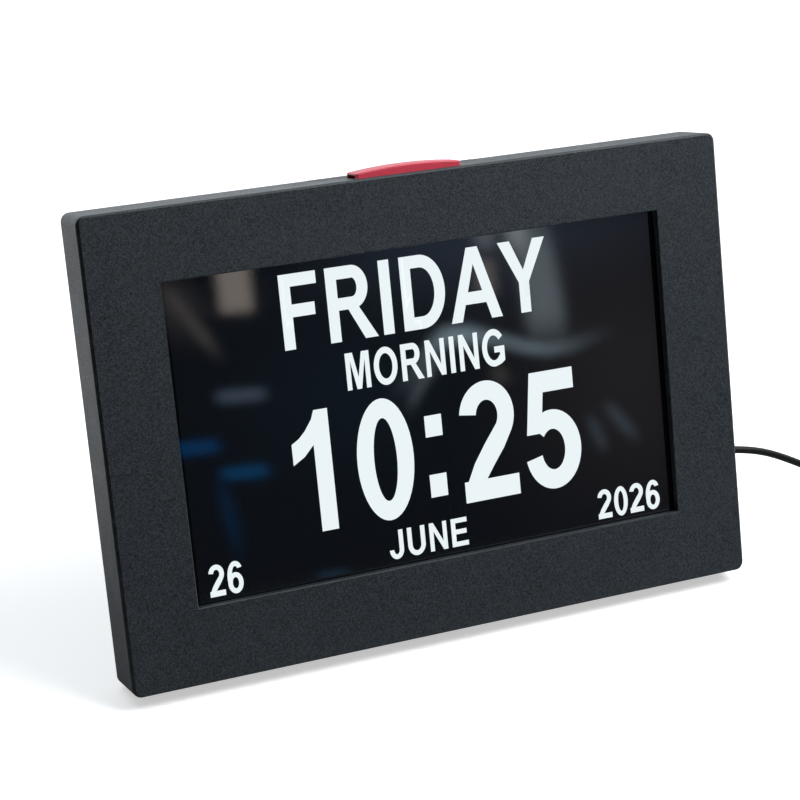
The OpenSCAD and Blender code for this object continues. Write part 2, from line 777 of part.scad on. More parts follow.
module button_switch() {
  color("#3c3f42") in_case() difference() {
    translate([-switch_size / 2, bar_mid_y - switch_size / 2, bar_board_top])
      cube([switch_size, switch_size, switch_h]);
    translate([0, bar_mid_y, bar_switch_top - plunger_in - press_travel - 0.2])
      cylinder(r = plunger_r + 0.08, h = plunger_in + press_travel + over);
  }
}

module button_board() {
  color("#1f6b3a") in_case() difference() {
    translate([-bar_board_w / 2, bar_mid_y - bar_board_d / 2, bar_board_top - bar_board_t])
      cube([bar_board_w, bar_board_d, bar_board_t]);
    for (sx = [-1, 1]) translate([sx * bar_screw_x, bar_mid_y, bar_board_top - bar_board_t - over])
      cylinder(r = small_screw_r + 0.2, h = bar_board_t + 2 * over);
  }
}

module button_board_screws() {
  color("#8d9196") in_case() for (sx = [-1, 1]) translate([sx * bar_screw_x, bar_mid_y, bar_board_top]) {
    difference() {
      cylinder(r = small_head_r, h = small_head_h);
      translate([0, 0, small_head_h]) for (a = [0, 90]) rotate([0, 0, a])
        cube([small_head_r * 1.1, small_head_r * 0.28, small_head_h], center = true);
    }
    translate([0, 0, -bar_board_t - bar_shelf_t + 0.2])
      cylinder(r = small_screw_r, h = bar_board_t + bar_shelf_t);
  }
}

// ---------- circuit boards ----------

module main_board() {
  color("#1f6b3a") in_case() difference() {
    slab(board_front, board_back) translate([board_x0, board_z0])
      square([board_x1 - board_x0, board_z1 - board_z0]);
    for (sx = [-1, 1], z = board_post_zs)
      rod_y(sx * board_post_x, z, small_screw_r + 0.2, board_front - over, board_back + over);
  }
}

module main_board_screws() {
  color("#8d9196") in_case() for (sx = [-1, 1], z = board_post_zs)
    screw_y(sx * board_post_x, z, small_screw_r, small_head_r, small_head_h, board_front - small_head_h,
      board_back + 3);
}

chip_size = 14;
chip_t = 1.4;
chip_low = board_z0 + 52;

module processor() {
  color("#222426") in_case() translate([-chip_size / 2, board_front - chip_t, chip_low])
    cube([chip_size, chip_t, chip_size]);
}

module ribbon_socket() {
  color("#e8e2cf") in_case() difference() {
    translate([-ribbon_w / 2 - 2, board_front - socket_t, socket_low])
      cube([ribbon_w + 4, socket_t, socket_h]);
    translate([-ribbon_w / 2 - 0.2, board_front - socket_t / 2 - 0.1, socket_low + 3])
      cube([ribbon_w + 0.4, ribbon_t + 0.2, socket_h]);
  }
}

can_r = 3.2;
can_l = 6;
can_pitch = 12;
can_x = channel_half + channel_wall + can_r + 3.6;
can_z = board_z0 + 52;

module capacitors() {
  color("#7c8085") in_case() for (i = [0, 1], j = [0, 1])
    rod_y(can_x + i * can_pitch, can_z + j * can_pitch, can_r, board_back, board_back + can_l);
}

cell_r = 10;
cell_x = -(channel_half + channel_wall + cell_r + 6.8);
cell_z = board_z0 + 40;
cell_t = 3.2;

module coin_cell_holder() {
  color("#191b1d") in_case() difference() {
    rod_y(cell_x, cell_z, cell_r + 1.5, board_back, board_back + 4.2);
    rod_y(cell_x, cell_z, cell_r + seat_gap, board_back + 1, board_back + 4.2 + over);
    translate([cell_x - 4, board_back + 1, cell_z + cell_r - 1]) cube([8, 4.2, 4]);
  }
}

module coin_cell() {
  color("#c7cacc") in_case() rod_y(cell_x, cell_z, cell_r, board_back + 1, board_back + 1 + cell_t);
}

module power_jack() {
  color("#17181a") in_case() difference() {
    translate([jack_face - jack_l, board_back, jack_z - jack_wide / 2])
      cube([jack_l, hump_in - board_back - 0.6, jack_wide]);
    rod_x(jack_y, jack_z, jack_bore_r, jack_face - jack_l + 1.5, jack_face + over);
  }
}

module jack_pin() {
  color("#c9a24a") in_case() rod_x(jack_y, jack_z, jack_pin_r, jack_face - jack_l + 1.5, jack_face - 1.5);
}

speaker_rim_t = 2;
magnet_r = speaker_r * 0.62;
magnet_end = 5.5;
cone_r0 = speaker_r - 2;
cone_r1 = speaker_r * 0.3;
cone_in = 1.5;

// Loudspeaker: a rim, a cone with a domed cap, and the magnet behind it
module speaker() {
  color("#2a2c2f") in_case() translate([speaker_x, cover_in - foam_t, speaker_z]) rotate([90, 0, 0])
    rotate_extrude()
    polygon([[speaker_r, 0], [speaker_r, speaker_rim_t], [magnet_r, speaker_rim_t], [magnet_r, magnet_end],
      [0, magnet_end], [0, cone_in - 1], [cone_r1 * 0.7, cone_in - 0.6], [cone_r1, cone_in], [cone_r0, 0.2],
      [cone_r0, 0]]);
}

module speaker_foam() {
  color("#101112") in_case() difference() {
    rod_y(speaker_x, speaker_z, speaker_r, cover_in - foam_t, cover_in);
    rod_y(speaker_x, speaker_z, speaker_r - 2.5, cover_in - foam_t - over, cover_in + over);
  }
}

module key_board() {
  color("#1f6b3a") in_case() difference() {
    slab(key_board_back - key_board_t, key_board_back) translate([key_x - key_board_w / 2, key_board_low])
      square([key_board_w, key_board_high - key_board_low]);
    for (z = [key_board_low + key_post_inset, key_board_high - key_post_inset])
      rod_y(key_x, z, small_screw_r + 0.2, key_board_back - key_board_t - over, key_board_back + over);
  }
}

module key_switches() {
  color("#3c3f42") in_case() for (i = [0:key_count - 1]) difference() {
    translate([key_x - switch_size / 2, key_board_back, key_low + i * key_pitch - switch_size / 2])
      cube([switch_size, key_switch_back - key_board_back, switch_size]);
    rod_y(key_x, key_low + i * key_pitch, plunger_r + 0.08,
      key_switch_back - plunger_in - press_travel - 0.2, key_switch_back + over);
  }
}

module key_board_screws() {
  front = key_board_back - key_board_t;
  color("#8d9196") in_case() for (z = [key_board_low + key_post_inset, key_board_high - key_post_inset])
    screw_y(key_x, z, small_screw_r, small_head_r, small_head_h * 0.6, front - small_head_h * 0.6,
      key_board_back + 3);
}

// Round key i: a dished cap through the cover and a flange that keeps it in
module key(i) {
  z = key_low + (i - 1) * key_pitch;
  key_l = case_d + key_out - key_flange_front;
  color("#222527") in_case() translate([key_x, key_flange_front, z]) rotate([-90, 0, 0]) rotate_extrude()
    polygon([[0, 0], [key_flange_r, 0], [key_flange_r, key_flange_t], [key_r, key_flange_t],
      [key_r, key_l - 0.3],
      [key_r - 0.3, key_l], [key_r - 0.9, key_l], [key_r - 1.5, key_l - 0.35], [0, key_l - 0.45]]);
}

// The plunger of the switch under key i, pressed by the key's foot
module key_plunger(i) {
  color("#d8d4c6") in_case()
    rod_y(key_x, key_low + (i - 1) * key_pitch, plunger_r, key_switch_back - plunger_in, key_flange_front);
}

// ---------- stand ----------

// Puts a piece drawn with the hinge axis at its origin, hanging down, in the open leg's place
module on_leg() {
  in_case() translate([0, hinge_y, hinge_z]) rotate([leg_swing, 0, 0]) children();
}

leg_rib_pitch = 7;
leg_rib_t = 1.2;

module stand_leg() {
  top_half = leg_w / 2;
  tip_half = leg_tip_w / 2;
  shoulder = leg_len - tip_l;
  color("#303438") on_leg() difference() {
    union() {
      slab(-leg_t / 2, leg_t / 2) polygon([[-top_half, 0], [-top_half, -8], [-tip_half, -shoulder],
        [tip_half, -shoulder], [top_half, -8], [top_half, 0]]);
      translate([-top_half, 0, 0]) rotate([0, 90, 0]) cylinder(r = barrel_out_r, h = leg_w);
      translate([-top_half, -leg_t / 2, 0]) cube([leg_w, leg_t / 2, heel_h]);
      slab(-1, 1) translate([0, -shoulder - tongue_in / 2])
        square([leg_tip_w - 8, tongue_in + 2 * eps], center = true);
    }
    translate([-top_half - over, 0, 0]) rotate([0, 90, 0])
      cylinder(r = pin_r + pin_run, h = leg_w + 2 * over);
    difference() {
      slab(leg_t / 2 - 1.2, leg_t / 2 + over)
        polygon([[-top_half + 4, -9], [-tip_half + 3.5, -shoulder + 3],
        [tip_half - 3.5, -shoulder + 3], [top_half - 4, -9]]);
      for (i = [-1:1]) slab(0, leg_t / 2 - 0.3) translate([i * leg_rib_pitch, -shoulder / 2])
        square([leg_rib_t, shoulder], center = true);
    }
  }
}

module stand_pin() {
  color("#b9bcc0") in_case() rod_x(hinge_y, hinge_z, pin_r, -channel_half - 1.5, channel_half + 1.5);
}

tip_groove_w = 0.8;
tip_groove_in = 0.4;

module stand_tip() {
  shoulder = leg_len - tip_l;
  color("#1d1f21") intersection() {
    on_leg() difference() {
      union() {
        translate([-leg_tip_w / 2, 0, -leg_len + tip_r]) rotate([0, 90, 0])
          cylinder(r = tip_r, h = leg_tip_w);
        slab(-tip_r, tip_r) translate([0, (-shoulder - leg_len + tip_r) / 2])
          square([leg_tip_w, leg_len - tip_r - shoulder], center = true);
      }
      slab(-1 - rest_gap, 1 + rest_gap) translate([0, -shoulder - tongue_in / 2 + over / 2])
        square([leg_tip_w - 8 + 2 * rest_gap, tongue_in + 2 * rest_gap + over], center = true);
      for (sy = [-1, 1], i = [1:2]) translate([0, sy * tip_r, -shoulder - i * 2])
        cube([leg_tip_w + over, 2 * tip_groove_in, tip_groove_w], center = true);
    }
    translate([-leg_w, -2 * leg_len, 0]) cube([2 * leg_w, 4 * leg_len, leg_len]);
  }
}

// ---------- plug, lead and adapter ----------

module plug_sleeve() {
  color("#c3c6c9") in_case() difference() {
    rod_x(jack_y, jack_z, barrel_r, sleeve_x0, grip_x0);
    rod_x(jack_y, jack_z, jack_pin_r + 0.1, sleeve_x0 - over, grip_x0 - 2);
  }
}

grip_groove_pitch = 2.2;
grip_groove_w = 0.9;
grip_groove_in = 0.35;

module plug_grip() {
  color("#17181a") in_case() translate([grip_x0, jack_y, jack_z]) rotate([0, 90, 0]) difference() {
    rotate_extrude()
      polygon([[0, 0], [grip_r - 0.6, 0], [grip_r, 0.6], [grip_r, grip_l * 0.7], [relief_r0, grip_l],
        [0, grip_l]]);
    for (i = [0:2]) translate([0, 0, grip_l * 0.7 - 1 - i * grip_groove_pitch - grip_groove_w])
      rotate_extrude()
      translate([grip_r - grip_groove_in, 0]) square([over, grip_groove_w]);
  }
}

// Tapered sleeve with grooves, from the grip's radius down to the cord
module relief(grooves) {
  difference() {
    rotate_extrude() polygon([[0, 0], [relief_r0, 0], [relief_r1, relief_l], [0, relief_l]]);
    for (i = [1:grooves]) translate([0, 0, relief_l * i / (grooves + 1) - 0.5]) rotate_extrude()
      translate([relief_r0 - (relief_r0 - relief_r1) * i / (grooves + 1) - 0.45, 0]) square([2, 1]);
  }
}

module plug_relief() {
  color("#17181a") in_case() translate([grip_x0 + grip_l, jack_y, jack_z]) rotate([0, 90, 0]) relief(4);
}

module power_lead() {
  color("#151617") tube(lead_route, cord_d / 2, lead_sides);
}

// Centreline of the coil: it spirals in and out at a steady rate and climbs half a turn at each reversal
function layer_wave(u) = let (k = floor(u), f = u - k) k % 2 == 0 ? f : 1 - f;
function climb(u) = let (n = round(u), f = (u - n) * turns_per_layer)
  n <= 0 || n >= layers ? min(max(floor(u), 0), layers - 1) : n - 1 + min(max(f * 2 + 0.5, 0), 1);
function coil_point(t) = let (u = t / turns_per_layer, r = coil_out - (coil_out - coil_in) * layer_wave(u))
  [coil_x + r * sin(360 * t), coil_y + r * cos(360 * t),
    coil_z + layer_pitch * climb(min(u, layers - 0.0001))];
coil_path = concat([join],
  [for (i = [0:coil_turns * ring_steps]) coil_point(i / ring_steps)],
  [tail_start]);
coil_gaps = [for (i = [0:1:len(coil_path) - ring_steps / 2 - 1],
  j = [i + ring_steps / 2:1:len(coil_path) - 1])
  norm(coil_path[i] - coil_path[j])];
echo(least_coil_gap = min(coil_gaps) - cord_d);  // cord_coil

module cord_coil() {
  color("#151617") tube(coil_path, cord_d / 2, coil_sides);
}

// Strap round the coil on its near side, with its loose end lying on top
module cord_tie() {
  tie_w = 8;
  inner = sqrt(pow(coil_in - cord_d / 2, 2) - pow(tie_w / 2, 2)) - 0.4;
  outer = coil_out + cord_d / 2 + 0.4;
  low = tie_t;
  high = coil_z + (layers - 1) * layer_pitch + cord_d / 2 + 0.3;
  color("#222426") translate([coil_x - tie_w / 2, coil_y, 0]) rotate([90, 0, 90]) linear_extrude(tie_w)
    difference() {
    union() {
      translate([-outer - tie_t, low - tie_t]) square([outer - inner + 2 * tie_t, high - low + 2 * tie_t]);
      translate([-outer, high + tie_t - eps]) square([(outer - inner) * 0.7, tie_t + eps]);
    }
    translate([-outer, low]) square([outer - inner, high - low]);
  }
}

module adapter_lead() {
  color("#151617") tube(tail_route, cord_d / 2, lead_sides);
}

module adapter_relief() {
  color("#17181a") translate([adapter_x, adapter_mid_y, adapter_exit_z]) rotate([0, -90, 0]) relief(4);
}

plug_pin_r = 2;
plug_pin_l = 19;
plug_pin_gap = 19;
plug_pin_inset = 18;    // from the adapter's far end to the pins
pin_x = adapter_x + adapter_l - plug_pin_inset;
adapter_r = 4;
seam_w = 0.6;
seam_in = 0.4;
seam_z = adapter_t * 0.6;
face_w = 14;            // size of the outlined plug face round the pins
face_l = 33;

module wall_adapter() {
  color("#1b1c1e") difference() {
    translate([adapter_x + adapter_l / 2, adapter_mid_y, 0])
      bevelled_block(adapter_l, adapter_w, adapter_t, adapter_r, 1.2, 1.2);
    translate([adapter_x + adapter_l / 2, adapter_mid_y, seam_z]) linear_extrude(seam_w) difference() {
      square([adapter_l + 2, adapter_w + 2], center = true);
      round_rect(adapter_l - 2 * seam_in, adapter_w - 2 * seam_in, adapter_r - seam_in);
    }
    translate([pin_x, adapter_mid_y, adapter_t - seam_in]) linear_extrude(seam_in + over) difference() {
      round_rect(face_w, face_l, face_w / 2 - eps);
      round_rect(face_w - 2 * seam_w, face_l - 2 * seam_w, face_w / 2 - seam_w - eps);
    }
  }
}

module adapter_pins() {
  color("#c9ccce") for (sy = [-1, 1])
    translate([pin_x, adapter_mid_y + sy * plug_pin_gap / 2, adapter_t]) rotate_extrude()
      polygon([[0, 0], [plug_pin_r, 0], [plug_pin_r, plug_pin_l - 1], [plug_pin_r - 1, plug_pin_l],
        [0, plug_pin_l]]);
}

front_frame();
back_cover();
case_screws();
foot_pads();
display_gasket();
lcd_panel();
light_tray();
display_ribbon();
panel_brackets();
bracket_screws();
top_button();
button_plunger();
button_switch();
button_board();
button_board_screws();
main_board();
main_board_screws();
processor();
ribbon_socket();
capacitors();
coin_cell_holder();
coin_cell();
power_jack();
jack_pin();
speaker();
speaker_foam();
key_board();
key_switches();
key_board_screws();
key(1);  // key_1
key(2);  // key_2
key(3);  // key_3
key(4);  // key_4
key(5);  // key_5
key(6);  // key_6
key_plunger(1);  // key_plunger_1
key_plunger(2);  // key_plunger_2
key_plunger(3);  // key_plunger_3
key_plunger(4);  // key_plunger_4
key_plunger(5);  // key_plunger_5
key_plunger(6);  // key_plunger_6
stand_leg();
stand_pin();
stand_tip();
plug_sleeve();
plug_grip();
plug_relief();
power_lead();
cord_coil();
cord_tie();
adapter_lead();
adapter_relief();
wall_adapter();
adapter_pins();
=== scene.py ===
import json
import math

import bmesh
import bpy
from bpy.props import FloatProperty, FloatVectorProperty, IntProperty, PointerProperty
from mathutils import Matrix, Vector


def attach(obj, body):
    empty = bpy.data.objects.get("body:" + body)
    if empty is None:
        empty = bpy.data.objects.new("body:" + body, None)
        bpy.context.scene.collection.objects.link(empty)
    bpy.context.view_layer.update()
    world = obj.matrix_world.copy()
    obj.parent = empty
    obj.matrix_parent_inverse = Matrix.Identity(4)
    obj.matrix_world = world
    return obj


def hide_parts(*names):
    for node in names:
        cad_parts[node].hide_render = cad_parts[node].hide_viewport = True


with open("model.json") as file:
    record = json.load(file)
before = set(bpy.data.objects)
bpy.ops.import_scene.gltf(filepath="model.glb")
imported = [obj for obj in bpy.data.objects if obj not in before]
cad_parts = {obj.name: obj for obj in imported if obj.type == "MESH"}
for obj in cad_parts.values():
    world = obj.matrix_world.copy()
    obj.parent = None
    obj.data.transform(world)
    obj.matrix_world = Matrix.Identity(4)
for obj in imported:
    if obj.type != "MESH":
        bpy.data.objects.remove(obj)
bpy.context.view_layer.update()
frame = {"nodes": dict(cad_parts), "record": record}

bl_info = {
    "name": "Day Clock Look",
    "version": (1, 0, 0),
    "blender": (4, 5, 0),
    "location": "View3D > Sidebar > Day Clock",
    "description": "Dresses the packed day clock with fine shapes, materials, its lit display and a studio",
    "category": "Object",
}

MM = 0.001

# The case leans back about the X axis and stands on the table, as in the part's source (mm, degrees)
LEAN, LIFT, MID_Y = 13.9, 5.3843, 33.5161
CASE_W, CASE_H, CASE_D, CORNER_R, EDGE_C = 225.0, 154.5, 19.5, 3.0, 0.4
PANEL_FRONT = 3.4
WINDOW_W, WINDOW_H, WINDOW_Z = 175.6, 105.4, 78.05
PICTURE_W, PICTURE_H = 172.2, 105.8
CASE = (Matrix.Translation((0, -MID_Y * MM, LIFT * MM)) @ Matrix.Rotation(math.radians(-LEAN), 4, "X")
        @ Matrix.Scale(MM, 4))

# The display's pixels, how far its light lies before the glass, and the cells of speckle and pads (mm)
PIXEL, LIT_GAP = 0.2175, 0.03
SPECKLE_CELL, PAD_CELL = 0.38, 1.3

# Which edges are rounded, as depths of the bands beside the outer faces, in the case frame (mm)
RIM_BAND, FRONT_BAND, BACK_BAND, OPENING_BAND = 3.2, 1.2, 1.0, 0.5
COVER_BACK_BAND, COVER_TOP_BAND = 0.3, 1
# The bar button stays sharp low down at its ends: beyond this x, between these y, below this height (mm)
POCKET_X, POCKET_FRONT, POCKET_BACK, POCKET_TOP = 16.6, 3.5, 11.0, 1.2
# The front bevel has a painted dark line of shade where it faces left: its normal's x lies between these
LINE_FROM, LINE_TO = -0.98, -0.2

# Widths of the roundings that the settings don't hold (m)
SOFT_ROUND, STRAP_ROUND, KEY_ROUND, HARD_ROUND, ADAPTER_ROUND = 0.00012, 0.00015, 0.0001, 0.0003, 0.0004
# Edges sharper than this shade as edges (degrees)
SMOOTH_ANGLE = 40.0

# The cord's route, in mm, as in the part's source
CORD_D = 2.7
EXIT = (100.9, -1.238, 37.573)
COIL_X, COIL_Y, COIL_Z = 202.0, -15.0, 2.35
COIL_OUT, COIL_IN = 21.48125, 10.91875
COIL_TURNS, TURNS_PER_LAYER, LAYERS, LAYER_PITCH = 13, 3.25, 4, 3.2
JOIN = (COIL_X - CORD_D, COIL_Y + COIL_OUT, COIL_Z)
TAIL_START = (COIL_X + CORD_D, COIL_Y + COIL_OUT, COIL_Z + (LAYERS - 1) * LAYER_PITCH)
LEAD_ROUTE = [
    EXIT, (103.6, -1.238, 37.573), (108, -1.2, 37.5), (114, -1.2, 37.1), (120, -1.2, 36.5),
    (126, -1.2, 35.5), (132, -1.2, 34.2), (138, -1.2, 32.4), (144, -1.1, 29.9), (150, -0.9, 26.9),
    (156, -0.5, 23.6), (162, 0.1, 20.0), (168, 0.9, 16.2), (174, 1.9, 12.4), (180, 3.0, 9.0),
    (186, 4.1, 6.1), (191, 5.0, 4.1), (196, 5.9, 2.8), JOIN,
]
TAIL_ROUTE = [
    TAIL_START, (210, 6.5, 11.7), (216, 6.3, 10.6), (222, 6.0, 9.2), (228, 5.6, 7.9), (234, 5.1, 7.1),
    (240, 4.6, 7.1), (246, 4.2, 8.0), (252, 4.0, 9.8), (258, 4.0, 11.8), (264, 4.0, 13.3),
    (267.3, 4.0, 14.0), (270, 4.0, 14.0), (286, 4.0, 14.0), (302, 4.0, 14.0), (318, 4.0, 14.0),
]
COIL_STEPS = 36

# The adapter's foot and top edges, and the well round its pins, in the row frame (m)
ADAPTER_FOOT, ADAPTER_TOP = 0.002, 0.0265
PINS_X, PINS_Y, WELL_X, WELL_Y = 0.332, 0.004, 0.008, 0.018


class DayClockSettings(bpy.types.PropertyGroup):
    """Sizes and levels that the operators read"""

    edge_round: FloatProperty(
        name="Edge rounding", description="Width of the small rounding on the case's edges",
        default=0.0002, min=0.00005, max=0.0003, unit="LENGTH", subtype="DISTANCE", precision=5)
    button_round: FloatProperty(
        name="Button rounding", description="Width of the rounding on the bar button's edges",
        default=0.0005, min=0.0001, max=0.001, unit="LENGTH", subtype="DISTANCE", precision=5)
    cord_sides: IntProperty(
        name="Cord resolution", description="Steps round a quarter of the cord", default=4, min=2, max=8)
    glow: FloatProperty(
        name="Display level", description="Brightness of the lit words and numbers",
        default=1.08, min=0.0, max=2.0)
    key_power: FloatProperty(
        name="Main lamp", description="Power of the large soft lamp", default=7.5, min=0.0, unit="POWER")
    fill_power: FloatProperty(
        name="Fill lamp", description="Power of the soft lamp behind", default=8.6, min=0.0, unit="POWER")
    sky: FloatProperty(
        name="Sky level", description="Strength of the white surroundings", default=0.55, min=0.0, max=1.0)
    floor_colour: FloatVectorProperty(
        name="Floor colour", description="Colour of the studio floor", default=(0.86, 0.86, 0.86),
        subtype="COLOR", size=3, min=0.0, max=1.0)


def settings():
    """The scene's day clock settings."""
    return bpy.context.scene.day_clock


# ---------- node helpers ----------

def add(tree, kind, inputs=None, **attributes):
    """Adds a node, sets its attributes, and sets or links its inputs."""
    node = tree.nodes.new(kind)
    for key, value in attributes.items():
        setattr(node, key, value)
    for key, value in (inputs or {}).items():
        if isinstance(value, bpy.types.NodeSocket):
            tree.links.new(value, node.inputs[key])
        else:
            node.inputs[key].default_value = value
    return node


def group(name, ins, outs):
    """A new shader node group with its sockets; ins and outs are (name, kind, default)."""
    tree = bpy.data.node_groups.new(name, "ShaderNodeTree")
    for items, direction in ((ins, "INPUT"), (outs, "OUTPUT")):
        for item in items:
            socket = tree.interface.new_socket(item[0], in_out=direction, socket_type="NodeSocket" + item[1])
            if len(item) > 2:
                socket.default_value = item[2]
    return tree, tree.nodes.new("NodeGroupInput").outputs, tree.nodes.new("NodeGroupOutput").inputs


def use(tree, name, inputs=None):
    """Puts a node group into a tree."""
    return add(tree, "ShaderNodeGroup", inputs, node_tree=bpy.data.node_groups[name])


def ramp(tree, fac, stops):
    """A colour ramp with (place, grey or colour) stops."""
    node = add(tree, "ShaderNodeValToRGB", {"Fac": fac})
    elements = node.color_ramp.elements
    while len(elements) < len(stops):
        elements.new(0.5)
    for element, (place, value) in zip(elements, stops):
        element.position = place
        element.color = (*value, 1) if isinstance(value, tuple) else (value, value, value, 1)
    return node.outputs["Color"]


def maths(tree, operation, a, b=0.0, c=0.0, clamp=False):
    """The result of a math node."""
    return add(tree, "ShaderNodeMath", {0: a, 1: b, 2: c}, operation=operation, use_clamp=clamp).outputs[0]


def cell_noise(tree, place, cell):
    """A value for each cube-shaped cell of a place."""
    corner = add(tree, "ShaderNodeVectorMath", {0: place, 1: (cell,) * 3}, operation="SNAP").outputs[0]
    return add(tree, "ShaderNodeTexWhiteNoise", {"Vector": corner}).outputs["Value"]


def make_groups():
    """The shared effects: places in the case, moulded grain, handling marks, and marked edges: scuffs, and a
    painted dark line of shade on the case's front bevel.
    """
    tree, _, out = group("case_space", [], [("Vector", "Vector")])
    here = add(tree, "ShaderNodeTexCoord").outputs["Object"]
    moved = add(tree, "ShaderNodeVectorMath", {0: here, 1: (0, -MID_Y * MM, LIFT * MM)},
                operation="SUBTRACT")
    turned = add(tree, "ShaderNodeVectorRotate", {"Vector": moved.outputs[0], "Angle": math.radians(LEAN)},
                 rotation_type="X_AXIS")
    sized = add(tree, "ShaderNodeVectorMath", {0: turned.outputs[0], "Scale": 1 / MM}, operation="SCALE")
    tree.links.new(sized.outputs[0], out["Vector"])

    tree, ins, out = group("moulded_grain", [("Scale", "Float", 2.2)],
                           [("Height", "Float"), ("Tone", "Float"), ("Broad", "Float")])
    place = use(tree, "case_space").outputs[0]
    fine = add(tree, "ShaderNodeTexNoise",
               {"Vector": place, "Scale": ins["Scale"], "Detail": 3.0, "Roughness": 0.6})
    pits = add(tree, "ShaderNodeTexVoronoi", {"Vector": place, "Scale": ins["Scale"]}, feature="SMOOTH_F1")
    tree.links.new(maths(tree, "MULTIPLY_ADD", pits.outputs["Distance"], 0.6, fine.outputs["Fac"]),
                   out["Height"])
    tree.links.new(cell_noise(tree, place, SPECKLE_CELL), out["Tone"])
    broad = add(tree, "ShaderNodeTexNoise", {"Vector": place, "Scale": 0.018, "Detail": 2.0})
    tree.links.new(broad.outputs["Fac"], out["Broad"])

    tree, ins, out = group("handling", [("Amount", "Float", 1.0)], [("Smudge", "Float"), ("Dust", "Float")])
    place = use(tree, "case_space").outputs[0]
    smear = add(tree, "ShaderNodeTexNoise",
                {"Vector": place, "Scale": 0.06, "Detail": 4.0, "Distortion": 1.2})
    smudge = add(tree, "ShaderNodeMapRange",
                 {"Value": smear.outputs["Fac"], "From Min": 0.45, "From Max": 0.75})
    tree.links.new(maths(tree, "MULTIPLY", smudge.outputs[0], ins["Amount"]), out["Smudge"])
    specks = add(tree, "ShaderNodeTexVoronoi", {"Vector": place, "Scale": 0.22, "Randomness": 1.0})
    dust = add(tree, "ShaderNodeMapRange",
               {"Value": specks.outputs["Distance"], "From Min": 0.05, "From Max": 0.02})
    tree.links.new(maths(tree, "MULTIPLY", dust.outputs[0], ins["Amount"]), out["Dust"])

    # Marked edges, broken up by noise: scuffs on rounded edges, and a painted dark line of shade on the
    # case's left-facing front bevel
    tree, _, out = group("edge_scuff_and_shade", [], [("Edge", "Float")])
    place = use(tree, "case_space").outputs[0]
    patchy = add(tree, "ShaderNodeTexNoise", {"Vector": place, "Scale": 0.35, "Detail": 4.0}).outputs["Fac"]
    edge = add(tree, "ShaderNodeAttribute", attribute_name="scuff_and_shade").outputs["Fac"]
    tree.links.new(maths(tree, "MULTIPLY", edge, patchy), out["Edge"])


def material(name):
    """A new material with one principled shader; returns it, its tree and the shader."""
    mat = bpy.data.materials.new(name)
    mat.use_nodes = True
    tree = mat.node_tree
    return mat, tree, tree.nodes["Principled BSDF"]


def mixed(tree, fac, a, b):
    """One colour to another by a varying factor."""
    node = add(tree, "ShaderNodeMix", {"Factor": fac}, data_type="RGBA")
    for socket, value in ((node.inputs["A"], a), (node.inputs["B"], b)):
        if isinstance(value, bpy.types.NodeSocket):
            tree.links.new(value, socket)
        else:
            socket.default_value = (*value, 1)
    return node.outputs["Result"]


def scaled(colour, factor):
    """A colour made lighter or darker."""
    return tuple(min(1.0, c * factor) for c in colour)


def plastic(name, colour, rough=0.5, grain=2.2, depth=0.00003, speckle=0.12, broad=0.1, scuff_and_shade_amount=0.25,
            scuff_and_shade_tone=2.0, specular=0.5):
    """Moulded plastic: fine grain, faint speckle, soft tone changes, handling marks, and marked edges in an
    edge tone: lighter as scuffs, darker as a painted line of shade.
    """
    mat, tree, shader = material(name)
    texture = use(tree, "moulded_grain", {"Scale": grain})
    marks = use(tree, "handling")
    tone = maths(tree, "MULTIPLY_ADD", texture.outputs["Tone"], 2 * speckle, 0.5 - speckle)
    tone = maths(tree, "ADD", tone, maths(tree, "MULTIPLY_ADD", texture.outputs["Broad"], 2 * broad, -broad))
    base = mixed(tree, tone, scaled(colour, 0.55), scaled(colour, 1.45))
    # Marked edges take the edge tone: a light tone is scuffing, a dark tone is painted shade
    edge = use(tree, "edge_scuff_and_shade").outputs["Edge"]
    base = mixed(tree, maths(tree, "MULTIPLY", edge, scuff_and_shade_amount), base, scaled(colour, scuff_and_shade_tone))
    tree.links.new(base, shader.inputs["Base Color"])
    roughness = maths(tree, "MULTIPLY_ADD", texture.outputs["Tone"], 0.3 * speckle,
                      rough - 0.15 * speckle - 0.06)
    roughness = maths(tree, "MULTIPLY_ADD", texture.outputs["Broad"], 0.12, roughness)
    roughness = maths(tree, "MULTIPLY_ADD", marks.outputs["Smudge"], -0.05, roughness)
    tree.links.new(maths(tree, "MULTIPLY_ADD", edge, -0.08, roughness), shader.inputs["Roughness"])
    bump = add(tree, "ShaderNodeBump",
               {"Height": texture.outputs["Height"], "Strength": 0.8, "Distance": depth})
    tree.links.new(bump.outputs[0], shader.inputs["Normal"])
    shader.inputs["IOR"].default_value = 1.5
    shader.inputs["Specular IOR Level"].default_value = specular
    return mat


def metal(name, colour, rough=0.3, brushed=(40, 2, 2)):
    """Metal with fine tool marks and a little tarnish."""
    mat, tree, shader = material(name)
    place = use(tree, "case_space").outputs[0]
    stretched = add(tree, "ShaderNodeVectorMath", {0: place, 1: brushed}, operation="MULTIPLY").outputs[0]
    lines = add(tree, "ShaderNodeTexNoise", {"Vector": stretched, "Scale": 0.6, "Detail": 4.0})
    tarnish = add(tree, "ShaderNodeTexNoise", {"Vector": place, "Scale": 0.4, "Detail": 2.0})
    tree.links.new(mixed(tree, tarnish.outputs["Fac"], scaled(colour, 0.75), scaled(colour, 1.15)),
                   shader.inputs["Base Color"])
    tree.links.new(maths(tree, "MULTIPLY_ADD", lines.outputs["Fac"], 0.25, rough - 0.12),
                   shader.inputs["Roughness"])
    bump = add(tree, "ShaderNodeBump",
               {"Height": lines.outputs["Fac"], "Strength": 0.4, "Distance": 0.00002})
    tree.links.new(bump.outputs[0], shader.inputs["Normal"])
    shader.inputs["Metallic"].default_value = 1.0
    return mat


